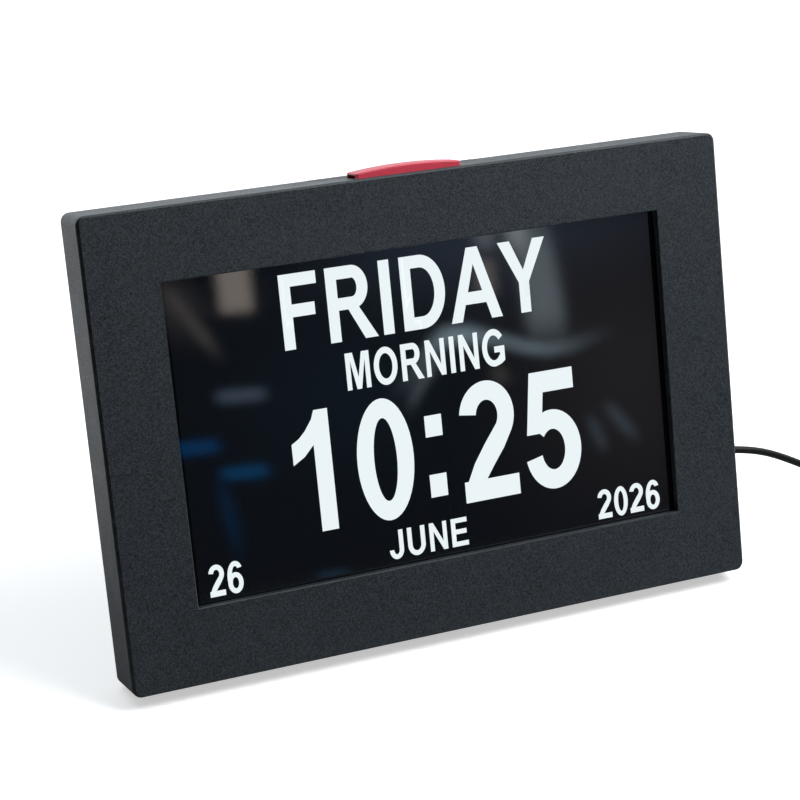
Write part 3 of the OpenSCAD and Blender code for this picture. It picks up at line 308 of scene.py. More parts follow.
def board_material():
    """Green solder mask over copper tracks and pads."""
    mat, tree, shader = material("board_mask")
    place = use(tree, "case_space").outputs[0]
    cell = cell_noise(tree, place, PAD_CELL)
    tracks = add(tree, "ShaderNodeTexBrick", {
        "Vector": place, "Scale": 0.5, "Mortar Size": 0.03,
        "Color1": (0, 0, 0, 1), "Color2": (0, 0, 0, 1), "Mortar": (1, 1, 1, 1)})
    pads = maths(tree, "GREATER_THAN", cell, 0.93)
    base = mixed(tree, tracks.outputs["Color"], (0.012, 0.085, 0.035), (0.03, 0.16, 0.07))
    tree.links.new(mixed(tree, pads, base, (0.55, 0.5, 0.38)), shader.inputs["Base Color"])
    tree.links.new(maths(tree, "MULTIPLY_ADD", pads, -0.1, 0.38), shader.inputs["Roughness"])
    bump = add(tree, "ShaderNodeBump", {"Height": tracks.outputs["Color"], "Distance": 0.00005})
    tree.links.new(bump.outputs[0], shader.inputs["Normal"])
    return mat


def glass_material():
    """Matt-coated display glass: a dark picture area with a faint blue glow, and a black border round it."""
    mat, tree, shader = material("display_glass")
    place = use(tree, "case_space").outputs[0]
    axes = add(tree, "ShaderNodeSeparateXYZ", {0: place}).outputs
    inside_x = maths(tree, "LESS_THAN", maths(tree, "ABSOLUTE", axes["X"]), PICTURE_W / 2)
    above = maths(tree, "SUBTRACT", axes["Z"], WINDOW_Z)
    inside_z = maths(tree, "LESS_THAN", maths(tree, "ABSOLUTE", above), PICTURE_H / 2)
    picture = maths(tree, "MULTIPLY", inside_x, inside_z)
    haze = add(tree, "ShaderNodeTexNoise", {"Vector": place, "Scale": 0.012, "Detail": 2.0})
    glow = mixed(tree, haze.outputs["Fac"], (0.0006, 0.0014, 0.0030), (0.0012, 0.0020, 0.0032))
    tree.links.new(mixed(tree, picture, (0.0002, 0.0002, 0.0002), glow), shader.inputs["Emission Color"])
    shader.inputs["Emission Strength"].default_value = 1.0
    marks = use(tree, "handling")
    tree.links.new(mixed(tree, picture, (0.0015, 0.0015, 0.0015), (0.0035, 0.0038, 0.0045)),
                   shader.inputs["Base Color"])
    rough = maths(tree, "MULTIPLY_ADD", marks.outputs["Smudge"], 0.02, 0.025)
    tree.links.new(maths(tree, "MULTIPLY_ADD", marks.outputs["Dust"], 0.3, rough), shader.inputs["Roughness"])
    fine = add(tree, "ShaderNodeTexNoise", {"Vector": place, "Scale": 6.0})
    bump = add(tree, "ShaderNodeBump",
               {"Height": fine.outputs["Fac"], "Strength": 0.3, "Distance": 0.000004})
    tree.links.new(bump.outputs[0], shader.inputs["Normal"])
    shader.inputs["IOR"].default_value = 1.5
    return mat


def letter_material():
    """White light from the display's pixels, seen as a very fine lattice."""
    mat, tree, shader = material("lit_letters")
    place = use(tree, "case_space").outputs[0]
    axes = add(tree, "ShaderNodeSeparateXYZ", {0: place}).outputs
    columns = maths(tree, "SINE", maths(tree, "MULTIPLY", axes["X"], 2 * math.pi / PIXEL))
    rows = maths(tree, "SINE", maths(tree, "MULTIPLY", axes["Z"], 2 * math.pi / PIXEL))
    lattice = maths(tree, "MULTIPLY_ADD", maths(tree, "ADD", columns, rows), 0.25, 0.5, clamp=True)
    colour = mixed(tree, lattice, (0.70, 0.79, 0.80), (0.80, 0.85, 0.88))
    tree.links.new(colour, shader.inputs["Emission Color"])
    shader.inputs["Emission Strength"].default_value = settings().glow
    tree.links.new(mixed(tree, lattice, (0.02, 0.02, 0.02), (0.03, 0.03, 0.03)), shader.inputs["Base Color"])
    shader.inputs["Roughness"].default_value = 0.15
    shader.inputs["Specular IOR Level"].default_value = 0.1
    return mat


def make_materials():
    """Every finish, by the record's slot names."""
    make_groups()
    return {
        # case_plastic's dark edge tone is painted shade: it turns the marked front bevel faces into a dark
        # line
        "case_plastic": plastic("case_plastic", (0.0217, 0.0280, 0.0342), rough=0.48, grain=2.8,
                                depth=0.00009, speckle=0.62, specular=0.4, scuff_and_shade_amount=1.7, scuff_and_shade_tone=0.15),
        "cover_plastic": plastic("cover_plastic", (0.021, 0.026, 0.031), rough=0.56, grain=1.6, depth=0.00006,
                                 speckle=0.3, specular=0.4),
        "button_red": plastic("button_red", (0.66, 0.052, 0.088), rough=0.38, grain=3.0, depth=0.00001,
                              speckle=0.04, broad=0.05, scuff_and_shade_amount=0.05, specular=0.4),
        "key_plastic": plastic("key_plastic", (0.02, 0.021, 0.023), rough=0.42, depth=0.00002),
        "black_plastic": plastic("black_plastic", (0.012, 0.012, 0.013), rough=0.4, depth=0.00002),
        "foam": plastic("foam", (0.012, 0.012, 0.012), rough=0.95, grain=4.0, depth=0.0002, specular=0.1),
        "foot_rubber": plastic("foot_rubber", (0.014, 0.014, 0.015), rough=0.8, grain=3.0, depth=0.00008),
        "tray_metal": metal("tray_metal", (0.62, 0.63, 0.65), rough=0.4),
        "steel": metal("steel", (0.55, 0.56, 0.58), rough=0.28),
        "screw_steel": metal("screw_steel", (0.42, 0.43, 0.45), rough=0.32, brushed=(8, 8, 8)),
        "ribbon_film": plastic("ribbon_film", (0.42, 0.19, 0.05), rough=0.3, depth=0.00001, speckle=0.04),
        "board_green": board_material(),
        "chip_black": plastic("chip_black", (0.016, 0.016, 0.017), rough=0.55, grain=6.0),
        "socket_cream": plastic("socket_cream", (0.66, 0.6, 0.46), rough=0.45, speckle=0.04),
        "can_metal": metal("can_metal", (0.35, 0.36, 0.39), rough=0.35),
        "cell_steel": metal("cell_steel", (0.62, 0.63, 0.64), rough=0.22),
        "brass": metal("brass", (0.72, 0.52, 0.2), rough=0.25),
        "cord_pvc": plastic("cord_pvc", (0.006, 0.006, 0.0068), rough=0.45, grain=3.0, depth=0.00001,
                            speckle=0.08, specular=0.3),
        "tie_strap": plastic("tie_strap", (0.016, 0.016, 0.017), rough=0.6, grain=5.0, depth=0.00008),
        "adapter_plastic": plastic("adapter_plastic", (0.014, 0.0145, 0.0155), rough=0.5, grain=1.8,
                                   depth=0.00005),
        "pin_nickel": metal("pin_nickel", (0.66, 0.65, 0.62), rough=0.2, brushed=(2, 2, 20)),
        "display_glass": glass_material(),
        "lit_letters": letter_material(),
    }


MATERIALS = {}
SLOTS = {}


def finish_of(slot_name):
    """The finish of one of the record's slots; all are made at the first call."""
    if not MATERIALS:
        MATERIALS.update(make_materials())
    return MATERIALS[slot_name]


def node_slots():
    """Which of the record's material slots each CAD node has."""
    if not SLOTS:
        for entry in frame["record"]["subparts"]:
            SLOTS[entry["node"]] = entry["material_slot"]
    return SLOTS


# ---------- mesh helpers ----------

def piece(name, bm, slot_name, body="root", replaces=(), weighted=True):
    """Turns a finished bmesh, in the row frame in metres, into a piece that rides on a body."""
    mesh = bpy.data.meshes.new(name)
    bmesh.ops.recalc_face_normals(bm, faces=bm.faces)
    bm.to_mesh(mesh)
    bm.free()
    mesh.polygons.foreach_set("use_smooth", [True] * len(mesh.polygons))
    mesh.set_sharp_from_angle(angle=math.radians(SMOOTH_ANGLE))
    obj = bpy.data.objects.new(name, mesh)
    bpy.context.scene.collection.objects.link(obj)
    mesh.materials.append(finish_of(slot_name))
    if weighted:
        modifier = obj.modifiers.new("even_shading", "WEIGHTED_NORMAL")
        modifier.keep_sharp = True
    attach(obj, body)
    if replaces:
        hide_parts(*replaces)
    return obj


def merged(node):
    """A CAD node's mesh with its corners joined and its flat faces whole."""
    bm = bmesh.new()
    bm.from_mesh(frame["nodes"][node].data)
    bmesh.ops.remove_doubles(bm, verts=bm.verts, dist=2e-6)
    bmesh.ops.dissolve_limit(bm, angle_limit=math.radians(0.4), verts=bm.verts, edges=bm.edges)
    return bm


def round_edges(bm, width, segments, angle, where=None):
    """Rounds the outer edges sharper than an angle that a test on their middle picks."""
    scuff_and_shade = bm.faces.layers.float.get("scuff_and_shade") or bm.faces.layers.float.new("scuff_and_shade")
    chosen = [e for e in bm.edges if len(e.link_faces) == 2 and e.is_convex
              and e.calc_face_angle(0.0) > math.radians(angle)
              and (where is None or where((e.verts[0].co + e.verts[1].co) / 2))]
    if chosen:
        made = bmesh.ops.bevel(bm, geom=chosen, offset=width, offset_type="OFFSET", segments=segments,
                               profile=0.5, affect="EDGES", clamp_overlap=True, material=-1)
        for face in made["faces"]:
            face[scuff_and_shade] = 1.0
    return bm


def dressed(node, width, segments, angle, where=None, body="root"):
    """A CAD node's finer copy, with rounded edges, in its place."""
    bm = round_edges(merged(node), width, segments, angle, where)
    return piece(node + "_look", bm, node_slots()[node], body, (node,))


def in_case(point):
    """A point of the row frame in the case frame, in mm."""
    return CASE.inverted() @ Vector(point)


def soften_front(bm, sides=0.5, ends=0.1):
    """Widens the front frame's outer bevel: sides is added at its upright edges, ends at the others; mm."""
    core = Vector((CASE_W / 2 - CORNER_R, CASE_H / 2 - CORNER_R))
    for vert in bm.verts:
        q = in_case(vert.co)
        flat = Vector((q.x, q.z - CASE_H / 2))
        middle = Vector((max(-core.x, min(core.x, flat.x)), max(-core.y, min(core.y, flat.y))))
        out = flat - middle
        if out.length < CORNER_R - 1.5 * EDGE_C:
            continue
        wider = ends + (sides - ends) * out.normalized().x ** 2
        if abs(q.y) < 0.05:
            flat = middle + out.normalized() * (CORNER_R - EDGE_C - wider)
            q.x, q.z = flat.x, flat.y + CASE_H / 2
        elif abs(q.y - EDGE_C) < 0.05:
            q.y += wider
        vert.co = CASE @ q
    return bm


def repaint(*names):
    """CAD nodes that stay as they are, with their procedural finish."""
    for name in names:
        mesh = frame["nodes"][name].data
        mesh.materials.clear()
        mesh.materials.append(finish_of(node_slots()[name]))


# ---------- display glyphs ----------
# Strokes of each glyph, in thousandths of a type size whose capitals are 716 high:
# ("box", x0, y0, x1, y1), ("bar", x0, x1, y0, x2, x3, y1) from a lower to an upper edge,
# ("arc", cx, cy, rx, ry, tx, ty, from, to) with outer radii and thicknesses, ("face", points)

CAP = 716
GLYPHS = {
    "0": (556, [("arc", 275, 354, 236, 366, 141, 117, 0, 360)]),
    "1": (556, [("face", [(256, 0), (393, 0), (393, 719), (281, 719), (256, 668)]),
                ("face", [(79, 413), (175, 455), (256, 517), (256, 668), (195, 604), (140, 565),
                          (79, 538)])]),
    "2": (556, [("arc", 268, 508, 236, 212, 143, 116, -38, 172), ("box", 30, 0, 505, 128),
                ("face", [(341, 449), (230, 340), (130, 230), (65, 128), (228, 128), (300, 205), (395, 300),
                          (454, 377.5)])]),
    "5": (556, [("box", 104, 588, 485, 716), ("bar", 46, 176, 340, 104, 232, 716),
                ("arc", 268, 232, 247, 244, 144, 119, -168, 138)]),
    "6": (556, [("arc", 279, 228, 234, 240, 139, 112, 0, 360), ("arc", 287, 540, 210, 180, 137, 115, 8, 90),
                ("arc", 287, 354, 248, 366, 142, 115, 90, 205)]),
    ":": (333, [("box", 70, 75, 214, 213), ("box", 70, 440, 214, 569)]),
    "A": (722, [("bar", 0, 153, 0, 281, 421, 716), ("bar", 565, 718, 0, 297, 437, 716),
                ("box", 190, 163, 528, 283)]),
    "D": (722, [("box", 72, 0, 217, 716), ("box", 217, 595, 336, 716), ("box", 217, 0, 336, 121),
                ("arc", 336, 358, 332, 358, 147, 121, -90, 90)]),
    "E": (667, [("box", 73, 0, 218, 716), ("box", 218, 595, 604, 716), ("box", 218, 310, 573, 431),
                ("box", 218, 0, 619, 121)]),
    "F": (611, [("box", 73, 0, 218, 716), ("box", 218, 595, 564, 716), ("box", 218, 304, 518, 425)]),
    "G": (778, [("arc", 393, 358, 349, 370, 149, 124, 36, 322), ("box", 571, 95, 715, 380),
                ("box", 406, 259, 571, 380),
                ("face", [(500, 6), (560, 19), (625, 41), (680, 70), (715, 95), (571, 200), (500, 130)])]),
    "I": (278, [("box", 68, 0, 213, 716)]),
    "J": (556, [("box", 343, 230, 487, 716), ("arc", 255, 230, 232, 242, 144, 122, 180, 360)]),
    "M": (833, [("box", 71, 0, 205, 716), ("box", 627, 0, 761, 716), ("bar", 349, 478, 0, 166, 287, 716),
                ("bar", 354, 483, 0, 545, 666, 716)]),
    "N": (722, [("box", 73, 0, 207, 716), ("box", 514, 0, 648, 716), ("bar", 508, 648, 0, 73, 213, 716)]),
    "O": (778, [("arc", 388, 358, 344, 370, 149, 124, 0, 360)]),
    "R": (722, [("box", 73, 0, 218, 716), ("box", 218, 595, 415, 716), ("box", 218, 299, 415, 416),
                ("arc", 415, 507.5, 212, 208.5, 148, 119, -90, 90), ("bar", 540, 716, 0, 335, 487, 312)]),
    "U": (722, [("box", 72, 270, 217, 716), ("box", 503, 270, 648, 716),
                ("arc", 360, 270, 288, 282, 145, 124, 180, 360)]),
    "Y": (667, [("box", 260, 0, 405, 301), ("bar", 260, 400, 301, -2, 168, 716),
                ("bar", 265, 405, 301, 497, 667, 716)]),
}


def outlines(stroke):
    """The flat faces of one stroke, as lists of points."""
    kind, values = stroke[0], stroke[1:]
    if kind == "face":
        return [values[0]]
    if kind == "box":
        x0, y0, x1, y1 = values
        return [[(x0, y0), (x1, y0), (x1, y1), (x0, y1)]]
    if kind == "bar":
        x0, x1, y0, x2, x3, y1 = values
        return [[(x0, y0), (x1, y0), (x3, y1), (x2, y1)]]
    cx, cy, rx, ry, tx, ty, start, end = values
    steps = max(6, round(abs(end - start) / 7.5))
    rim = []
    for i in range(steps + 1):
        a = math.radians(start + (end - start) * i / steps)
        rim.append(((cx + rx * math.cos(a), cy + ry * math.sin(a)),
                    (cx + (rx - tx) * math.cos(a), cy + (ry - ty) * math.sin(a))))
    return [[rim[i][0], rim[i + 1][0], rim[i + 1][1], rim[i][1]] for i in range(steps)]


def lettering(name, text, left, right, base, cap):
    """One row of lit glyphs on the glass, fitted between left and right; mm from the face's middle."""
    faces, pen = [], 0
    for character in text:
        advance, strokes = GLYPHS[character]
        for stroke in strokes:
            faces += [[(x + pen, y) for x, y in face] for face in outlines(stroke)]
        pen += advance
    xs = [x for face in faces for x, _ in face]
    stretch, rise = (right - left) / (max(xs) - min(xs)), cap / CAP
    bm = bmesh.new()
    for face in faces:
        corners = [bm.verts.new((left + (x - min(xs)) * stretch, PANEL_FRONT - LIT_GAP,
                                 CASE_H / 2 + base + y * rise)) for x, y in face]
        bm.faces.new(corners)
    bmesh.ops.remove_doubles(bm, verts=bm.verts, dist=1e-4)
    bmesh.ops.transform(bm, matrix=CASE, verts=bm.verts)
    obj = piece(name, bm, "lit_letters", weighted=False)
    if obj.data.polygons[0].normal.y > 0:
        obj.data.flip_normals()


# ---------- cord ----------

def smooth_route(points, steps=4):
    """Points along a smooth line through the route's points."""
    points = [Vector(p) for p in points]
    found = []
    for i in range(len(points) - 1):
        a, b = points[max(i - 1, 0)], points[i]
        c, d = points[i + 1], points[min(i + 2, len(points) - 1)]
        for k in range(steps):
            t = k / steps
            found.append(0.5 * (2 * b + (c - a) * t + (2 * a - 5 * b + 4 * c - d) * t * t
                                + (3 * b - a - 3 * c + d) * t ** 3))
    return found + [points[-1]]


def coil_point(t):
    """The coil's centreline after t turns: it spirals in and out, and climbs a layer at each reversal."""
    u = t / TURNS_PER_LAYER
    k = math.floor(u)
    wave = u - k if k % 2 == 0 else 1 - (u - k)
    radius = COIL_OUT - (COIL_OUT - COIL_IN) * wave
    v = min(u, LAYERS - 0.0001)
    n = math.floor(v + 0.5)
    if n <= 0 or n >= LAYERS:
        layer = min(max(math.floor(v), 0), LAYERS - 1)
    else:
        layer = n - 1 + min(max((v - n) * TURNS_PER_LAYER * 2 + 0.5, 0), 1)
    turn = 2 * math.pi * t
    return Vector((COIL_X + radius * math.sin(turn), COIL_Y + radius * math.cos(turn),
                   COIL_Z + LAYER_PITCH * layer))


def cord_route():
    """The whole cord's centreline: lead, coil and adapter's lead, in mm."""
    turns = [coil_point(i / COIL_STEPS) for i in range(1, COIL_TURNS * COIL_STEPS)]
    return (smooth_route(LEAD_ROUTE) + [coil_point(0)] + turns + [coil_point(COIL_TURNS)]
            + smooth_route(TAIL_ROUTE))


def adapter_edge(point):
    """Whether a point lies on the adapter's foot or top edges; those round its pins stay sharp."""
    well = abs(point.x - PINS_X) < WELL_X and abs(point.y - PINS_Y) < WELL_Y
    return point.z < ADAPTER_FOOT or point.z > ADAPTER_TOP and not well


class DAYCLOCK_OT_cord(bpy.types.Operator):
    """Make the power cord: one length from the plug through the stored coil to the adapter"""

    bl_idname = "day_clock.cord"
    bl_label = "Power cord"

    def execute(self, context):
        route = cord_route()
        curve = bpy.data.curves.new("power_cord", "CURVE")
        curve.dimensions = "3D"
        curve.bevel_depth = CORD_D / 2 * MM
        curve.bevel_resolution = settings().cord_sides
        curve.use_fill_caps = True
        spline = curve.splines.new("POLY")
        spline.points.add(len(route) - 1)
        for point, place in zip(spline.points, route):
            point.co = (*(place * MM), 1)
        spline.use_smooth = True
        cord = bpy.data.objects.new("power_cord", curve)
        context.scene.collection.objects.link(cord)
        curve.materials.append(finish_of("cord_pvc"))
        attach(cord, "root")
        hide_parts("power_lead", "cord_coil", "adapter_lead")
        grip = dressed("plug_grip", SOFT_ROUND, 2, 25)
        relief = dressed("plug_relief", SOFT_ROUND, 2, 25)
        far_relief = dressed("adapter_relief", SOFT_ROUND, 2, 25)
        adapter = dressed("wall_adapter", ADAPTER_ROUND, 3, 20, adapter_edge)
        pins = dressed("adapter_pins", HARD_ROUND, 3, 25)
        strap = dressed("cord_tie", STRAP_ROUND, 2, 40)
        repaint("plug_sleeve")
        return {"FINISHED"}


class DAYCLOCK_OT_case(bpy.types.Operator):
    """Dress the front moulding, the back cover and what fastens them"""

    bl_idname = "day_clock.case"
    bl_label = "Case"

    def execute(self, context):
        rounding = settings().edge_round

        def outer(point):
            q = in_case(point)
            rim = abs(q.x) > CASE_W / 2 - RIM_BAND or q.z < RIM_BAND or q.z > CASE_H - RIM_BAND
            opening = (abs(q.x) < WINDOW_W / 2 + OPENING_BAND
                       and abs(q.z - WINDOW_Z) < WINDOW_H / 2 + OPENING_BAND)
            return q.y < FRONT_BAND and (rim or opening) or rim and q.y > CASE_D - BACK_BAND

        def cover_edge(point):
            q = in_case(point)
            return q.y > CASE_D - COVER_BACK_BAND or q.z > CASE_H - COVER_TOP_BAND

        bm = round_edges(soften_front(merged("front_frame")), rounding, 3, 30, outer)
        # Paint shade: only the front bevel's left-facing faces are marked, and case_plastic darkens them to a
        # dark line
        scuff_and_shade = bm.faces.layers.float["scuff_and_shade"]
        for face in bm.faces:
            in_front = in_case(face.calc_center_median()).y < FRONT_BAND
            face[scuff_and_shade] = in_front and LINE_FROM < face.normal.x < LINE_TO
        piece("front_frame_look", bm, node_slots()["front_frame"], replaces=("front_frame",))
        dressed("back_cover", rounding, 2, 40, cover_edge)
        dressed("foot_pads", KEY_ROUND, 2, 40)
        repaint("case_screws")
        return {"FINISHED"}


class DAYCLOCK_OT_display(bpy.types.Operator):
    """Dress the display glass and light its words and numbers"""

    bl_idname = "day_clock.display"
    bl_label = "Display"

    def execute(self, context):
        repaint("lcd_panel", "display_gasket", "light_tray", "display_ribbon", "panel_brackets",
                "bracket_screws")
        lettering("weekday_word", "FRIDAY", -48.5, 46.5, 25.5, 24.5)
        lettering("daypart_word", "MORNING", -28.5, 28.5, 9.2, 12.3)
        lettering("time_digits", "10:25", -49.8, 54.0, -35.6, 40.3)
        lettering("month_word", "JUNE", -19.5, 9.2, -49.6, 9.7)
        lettering("day_digits", "26", -82.5, -71.0, -50.2, 10.5)
        lettering("year_digits", "2026", 58.5, 82.6, -50.1, 10.2)
        return {"FINISHED"}


class DAYCLOCK_OT_button(bpy.types.Operator):
    """Dress the red bar button and the switch under it"""

    bl_idname = "day_clock.button"
    bl_label = "Bar button"

    def execute(self, context):
        def shown(point):
            q = in_case(point)
            pocket = (abs(q.x) > POCKET_X and POCKET_FRONT < q.y < POCKET_BACK
                      and q.z < CASE_H + POCKET_TOP)
            return q.z > CASE_H and not pocket

        dressed("top_button", settings().button_round, 4, 30, shown, "bar_button")
        repaint("button_plunger", "button_switch", "button_board", "button_board_screws")
        return {"FINISHED"}


class DAYCLOCK_OT_keys(bpy.types.Operator):
    """Dress the six rear keys and their board"""

    bl_idname = "day_clock.keys"
    bl_label = "Rear keys"

    def execute(self, context):
        for i in range(1, 7):
            dressed(f"key_{i}", KEY_ROUND, 2, 30, lambda p: in_case(p).y > CASE_D, f"rear_key_{i}")
            repaint(f"key_plunger_{i}")
        repaint("key_board", "key_switches", "key_board_screws")
        return {"FINISHED"}


class DAYCLOCK_OT_stand(bpy.types.Operator):
    """Dress the fold-out leg, its pin and its rubber tip"""

    bl_idname = "day_clock.stand"
    bl_label = "Stand"

    def execute(self, context):
        dressed("stand_leg", HARD_ROUND, 3, 40, None, "leg")
        dressed("stand_tip", SOFT_ROUND, 2, 40, None, "leg")
        repaint("stand_pin")
        return {"FINISHED"}


class DAYCLOCK_OT_inside(bpy.types.Operator):
    """Finish the boards, the parts on them and the loudspeaker"""

    bl_idname = "day_clock.inside"
    bl_label = "Inside"

    def execute(self, context):
        repaint("main_board", "main_board_screws", "processor", "ribbon_socket", "capacitors",
                "coin_cell_holder", "coin_cell", "power_jack", "jack_pin", "speaker", "speaker_foam")
        return {"FINISHED"}


# ---------- studio ----------

# The photograph's camera, found from the case's and the window's corners (mm for the lens, else m)
LENS, SENSOR, CLIP = 101.04, 36.0, (0.05, 50.0)
CAMERA_PLACE, CAMERA_AHEAD = (-0.27905, -0.63233, 0.37851), (0.36328, 0.84126, -0.4004)

# The floor's radius, the light that whitens it, and where more of it starts and is full (m)
FLOOR_RADIUS, FLOOR_LIFT = 8.0, 0.52
FAR_FROM, FAR_TO, FAR_LIFT = 0.6, 1.0, 0.5
SKY_TINT = (0.91, 0.965, 1.0)

# The dark card round the front: its size, and how far back it reaches on each side (m)
CARD_RADIUS, CARD_HEIGHT, CARD_RIGHT_END, CARD_LEFT_END = 0.9, 0.8, -0.05, 0.3
# The dark table that only reflections show: its size (m), and its darkness at places from back to front
TABLE_RADIUS, TABLE_LIFT = 0.88, 0.0002
TABLE_FADE = ((0.07, 0.0), (0.1, 0.3), (0.4, 0.38), (0.56, 1.0))
# The bands of light stand this far in front, one just behind the other, so that none hides the next (m)
BANDS_Y, BANDS_STEP = -0.5, 0.0001


def soft_lamp(name, place, target, size, power, colour=(1, 1, 1)):
    """A square area lamp that faces a point."""
    data = bpy.data.lights.new(name, "AREA")
    data.shape, data.size, data.energy, data.color = "SQUARE", size, power, colour
    lamp = bpy.data.objects.new(name, data)
    lamp.location = place
    lamp.rotation_euler = (Vector(target) - Vector(place)).to_track_quat("-Z", "Y").to_euler()
    bpy.context.scene.collection.objects.link(lamp)


def stage_piece(name, bm, mat):
    """A mesh that belongs to the studio and not to the object."""
    mesh = bpy.data.meshes.new(name)
    bm.to_mesh(mesh)
    bm.free()
    mesh.materials.append(mat)
    obj = bpy.data.objects.new(name, mesh)
    bpy.context.scene.collection.objects.link(obj)
    return obj


def fading(tree, fade, surface):
    """Ends a material in a shader that a factor fades to clear."""
    clear = add(tree, "ShaderNodeBsdfTransparent")
    mix = add(tree, "ShaderNodeMixShader", {0: fade, 1: clear.outputs[0], 2: surface.outputs[0]})
    tree.links.new(mix.outputs[0], tree.nodes["Material Output"].inputs["Surface"])


def glowing(name, colour, strength, soft):
    """A patch of light with soft edges, for the glass to reflect."""
    mat, tree, shader = material(name)
    tree.nodes.remove(shader)
    uv = add(tree, "ShaderNodeTexCoord").outputs["UV"]
    axes = add(tree, "ShaderNodeSeparateXYZ", {0: uv}).outputs
    fade = None
    for axis in ("X", "Y"):
        away = maths(tree, "ABSOLUTE", maths(tree, "SUBTRACT", axes[axis], 0.5))
        side = add(tree, "ShaderNodeMapRange",
                   {"Value": away, "From Min": 0.5, "From Max": 0.5 - 0.5 * soft},
                   interpolation_type="SMOOTHSTEP").outputs[0]
        fade = side if fade is None else maths(tree, "MULTIPLY", fade, side)
    fading(tree, fade, add(tree, "ShaderNodeEmission", {"Color": (*colour, 1), "Strength": strength}))
    return mat


def only_reflected(obj):
    """Keeps a stage piece out of everything but reflections."""
    obj.visible_camera = False
    obj.visible_diffuse = False
    obj.visible_shadow = False
    obj.visible_transmission = False


def ribbon(name, route, width, mat, y):
    """An upright band of light along a route of (x, z) places at one y, with UVs along and across."""
    middle = [Vector((x, y, z)) for x, z in route]
    bm = bmesh.new()
    bmesh.ops.create_grid(bm, x_segments=len(route) - 1, y_segments=1, size=0.5)
    layer = bm.loops.layers.uv.new("UVMap")
    along = {}
    for vert in bm.verts:
        along[vert] = (vert.co.x + 0.5, vert.co.y + 0.5)
    for face in bm.faces:
        for loop in face.loops:
            loop[layer].uv = along[loop.vert]
    for vert, (u, v) in along.items():
        i = round(u * (len(route) - 1))
        ahead = (middle[min(i + 1, len(middle) - 1)] - middle[max(i - 1, 0)]).normalized()
        across = Vector((-ahead.z, 0, ahead.x))
        vert.co = middle[i] + across * (v - 0.5) * width
    only_reflected(stage_piece(name, bm, mat))


# What the glass shows of the room: (name, route of (x, z), width, colour, strength, softness)
REFLECTED = (
    ("haze_top", ((0.08, 0.215), (0.44, 0.215)), 0.20, (0.50, 0.68, 1.0), 0.9, 1.0),
    ("haze_left", ((0.04, 0.11), (0.26, 0.11)), 0.16, (0.22, 0.60, 1.0), 0.14, 1.0),
    ("haze_right", ((0.20, 0.10), (0.45, 0.10)), 0.28, (1.0, 0.82, 0.80), 0.24, 1.0),
    ("warm_corner", ((0.045, 0.20), (0.075, 0.15)), 0.05, (1.0, 0.92, 0.92), 0.40, 1.0),
    ("beige_light", ((0.0975, 0.200), (0.0950, 0.163)), 0.022, (1.0, 0.88, 0.79), 3.3, 0.3),
    ("slant_light", ((0.052, 0.193), (0.083, 0.138)), 0.010, (1.0, 0.88, 0.84), 0.9, 0.7),
    ("wide_light", ((0.278, 0.205), (0.279, 0.168), (0.279, 0.146), (0.277, 0.113)),
     0.033, (0.74, 0.90, 1.0), 2.4, 0.6),
    ("glow_light", ((0.269, 0.208), (0.271, 0.170)), 0.022, (0.84, 0.95, 1.0), 4.2, 0.9),
    ("side_light", ((0.251, 0.205), (0.249, 0.175)), 0.020, (0.78, 0.90, 1.0), 2.2, 0.8),
    ("brown_light", ((0.247, 0.178), (0.244, 0.150)), 0.017, (1.0, 0.93, 0.85), 1.8, 0.6),
    ("arm_light", ((0.170, 0.101), (0.184, 0.111), (0.196, 0.120), (0.206, 0.130), (0.217, 0.134),
                   (0.230, 0.133), (0.247, 0.127), (0.264, 0.120), (0.276, 0.117), (0.290, 0.117),
                   (0.306, 0.120), (0.327, 0.124)),
     0.011, (0.66, 0.87, 1.0), 2.8, 0.7),
    ("arm_bright", ((0.200, 0.127), (0.214, 0.134), (0.228, 0.133), (0.248, 0.126)),
     0.017, (0.66, 0.87, 1.0), 4.4, 0.9),
    ("arm_inner", ((0.181, 0.092), (0.191, 0.106), (0.202, 0.117), (0.213, 0.128)),
     0.007, (0.72, 0.88, 1.0), 1.6, 0.7),
    ("under_light", ((0.240, 0.116), (0.246, 0.098)), 0.016, (1.0, 0.9, 0.85), 0.7, 0.9),
    ("pale_bar", ((0.071, 0.1215), (0.106, 0.1185)), 0.009, (0.50, 0.70, 1.0), 1.5, 0.5),
    ("blue_bar_low", ((0.066, 0.0795), (0.099, 0.0770)), 0.0085, (0.0, 0.36, 1.0), 1.8, 0.5),
    ("blue_bar_high", ((0.040, 0.0970), (0.074, 0.0950)), 0.009, (0.0, 0.30, 1.0), 1.7, 0.5),
    ("blue_post", ((0.067, 0.087), (0.072, 0.026)), 0.012, (0.0, 0.33, 1.0), 0.6, 0.9),
    ("streak_1", ((0.293, 0.079), (0.300, 0.050)), 0.008, (0.65, 0.82, 1.0), 1.2, 0.8),
    ("streak_2", ((0.303, 0.085), (0.323, 0.053)), 0.010, (0.65, 0.82, 1.0), 1.2, 0.8),
    ("low_light", ((0.108, 0.0135), (0.135, 0.0125)), 0.010, (0.25, 0.6, 1.0), 0.8, 0.8),
)


def eye_rays(tree):
    """Whether a ray is a camera ray, and whether it is a camera, glossy or transmission ray."""
    path = add(tree, "ShaderNodeLightPath").outputs
    seen = maths(tree, "MAXIMUM", path["Is Camera Ray"],
                 maths(tree, "MAXIMUM", path["Is Glossy Ray"], path["Is Transmission Ray"]))
    return path["Is Camera Ray"], seen


def dark_material(name):
    """Nearly black and matt; returns the material, its tree and the shader."""
    mat, tree, shader = material(name)
    shader.inputs["Base Color"].default_value = (0.004, 0.004, 0.005, 1)
    shader.inputs["Roughness"].default_value = 0.9
    return mat, tree, shader


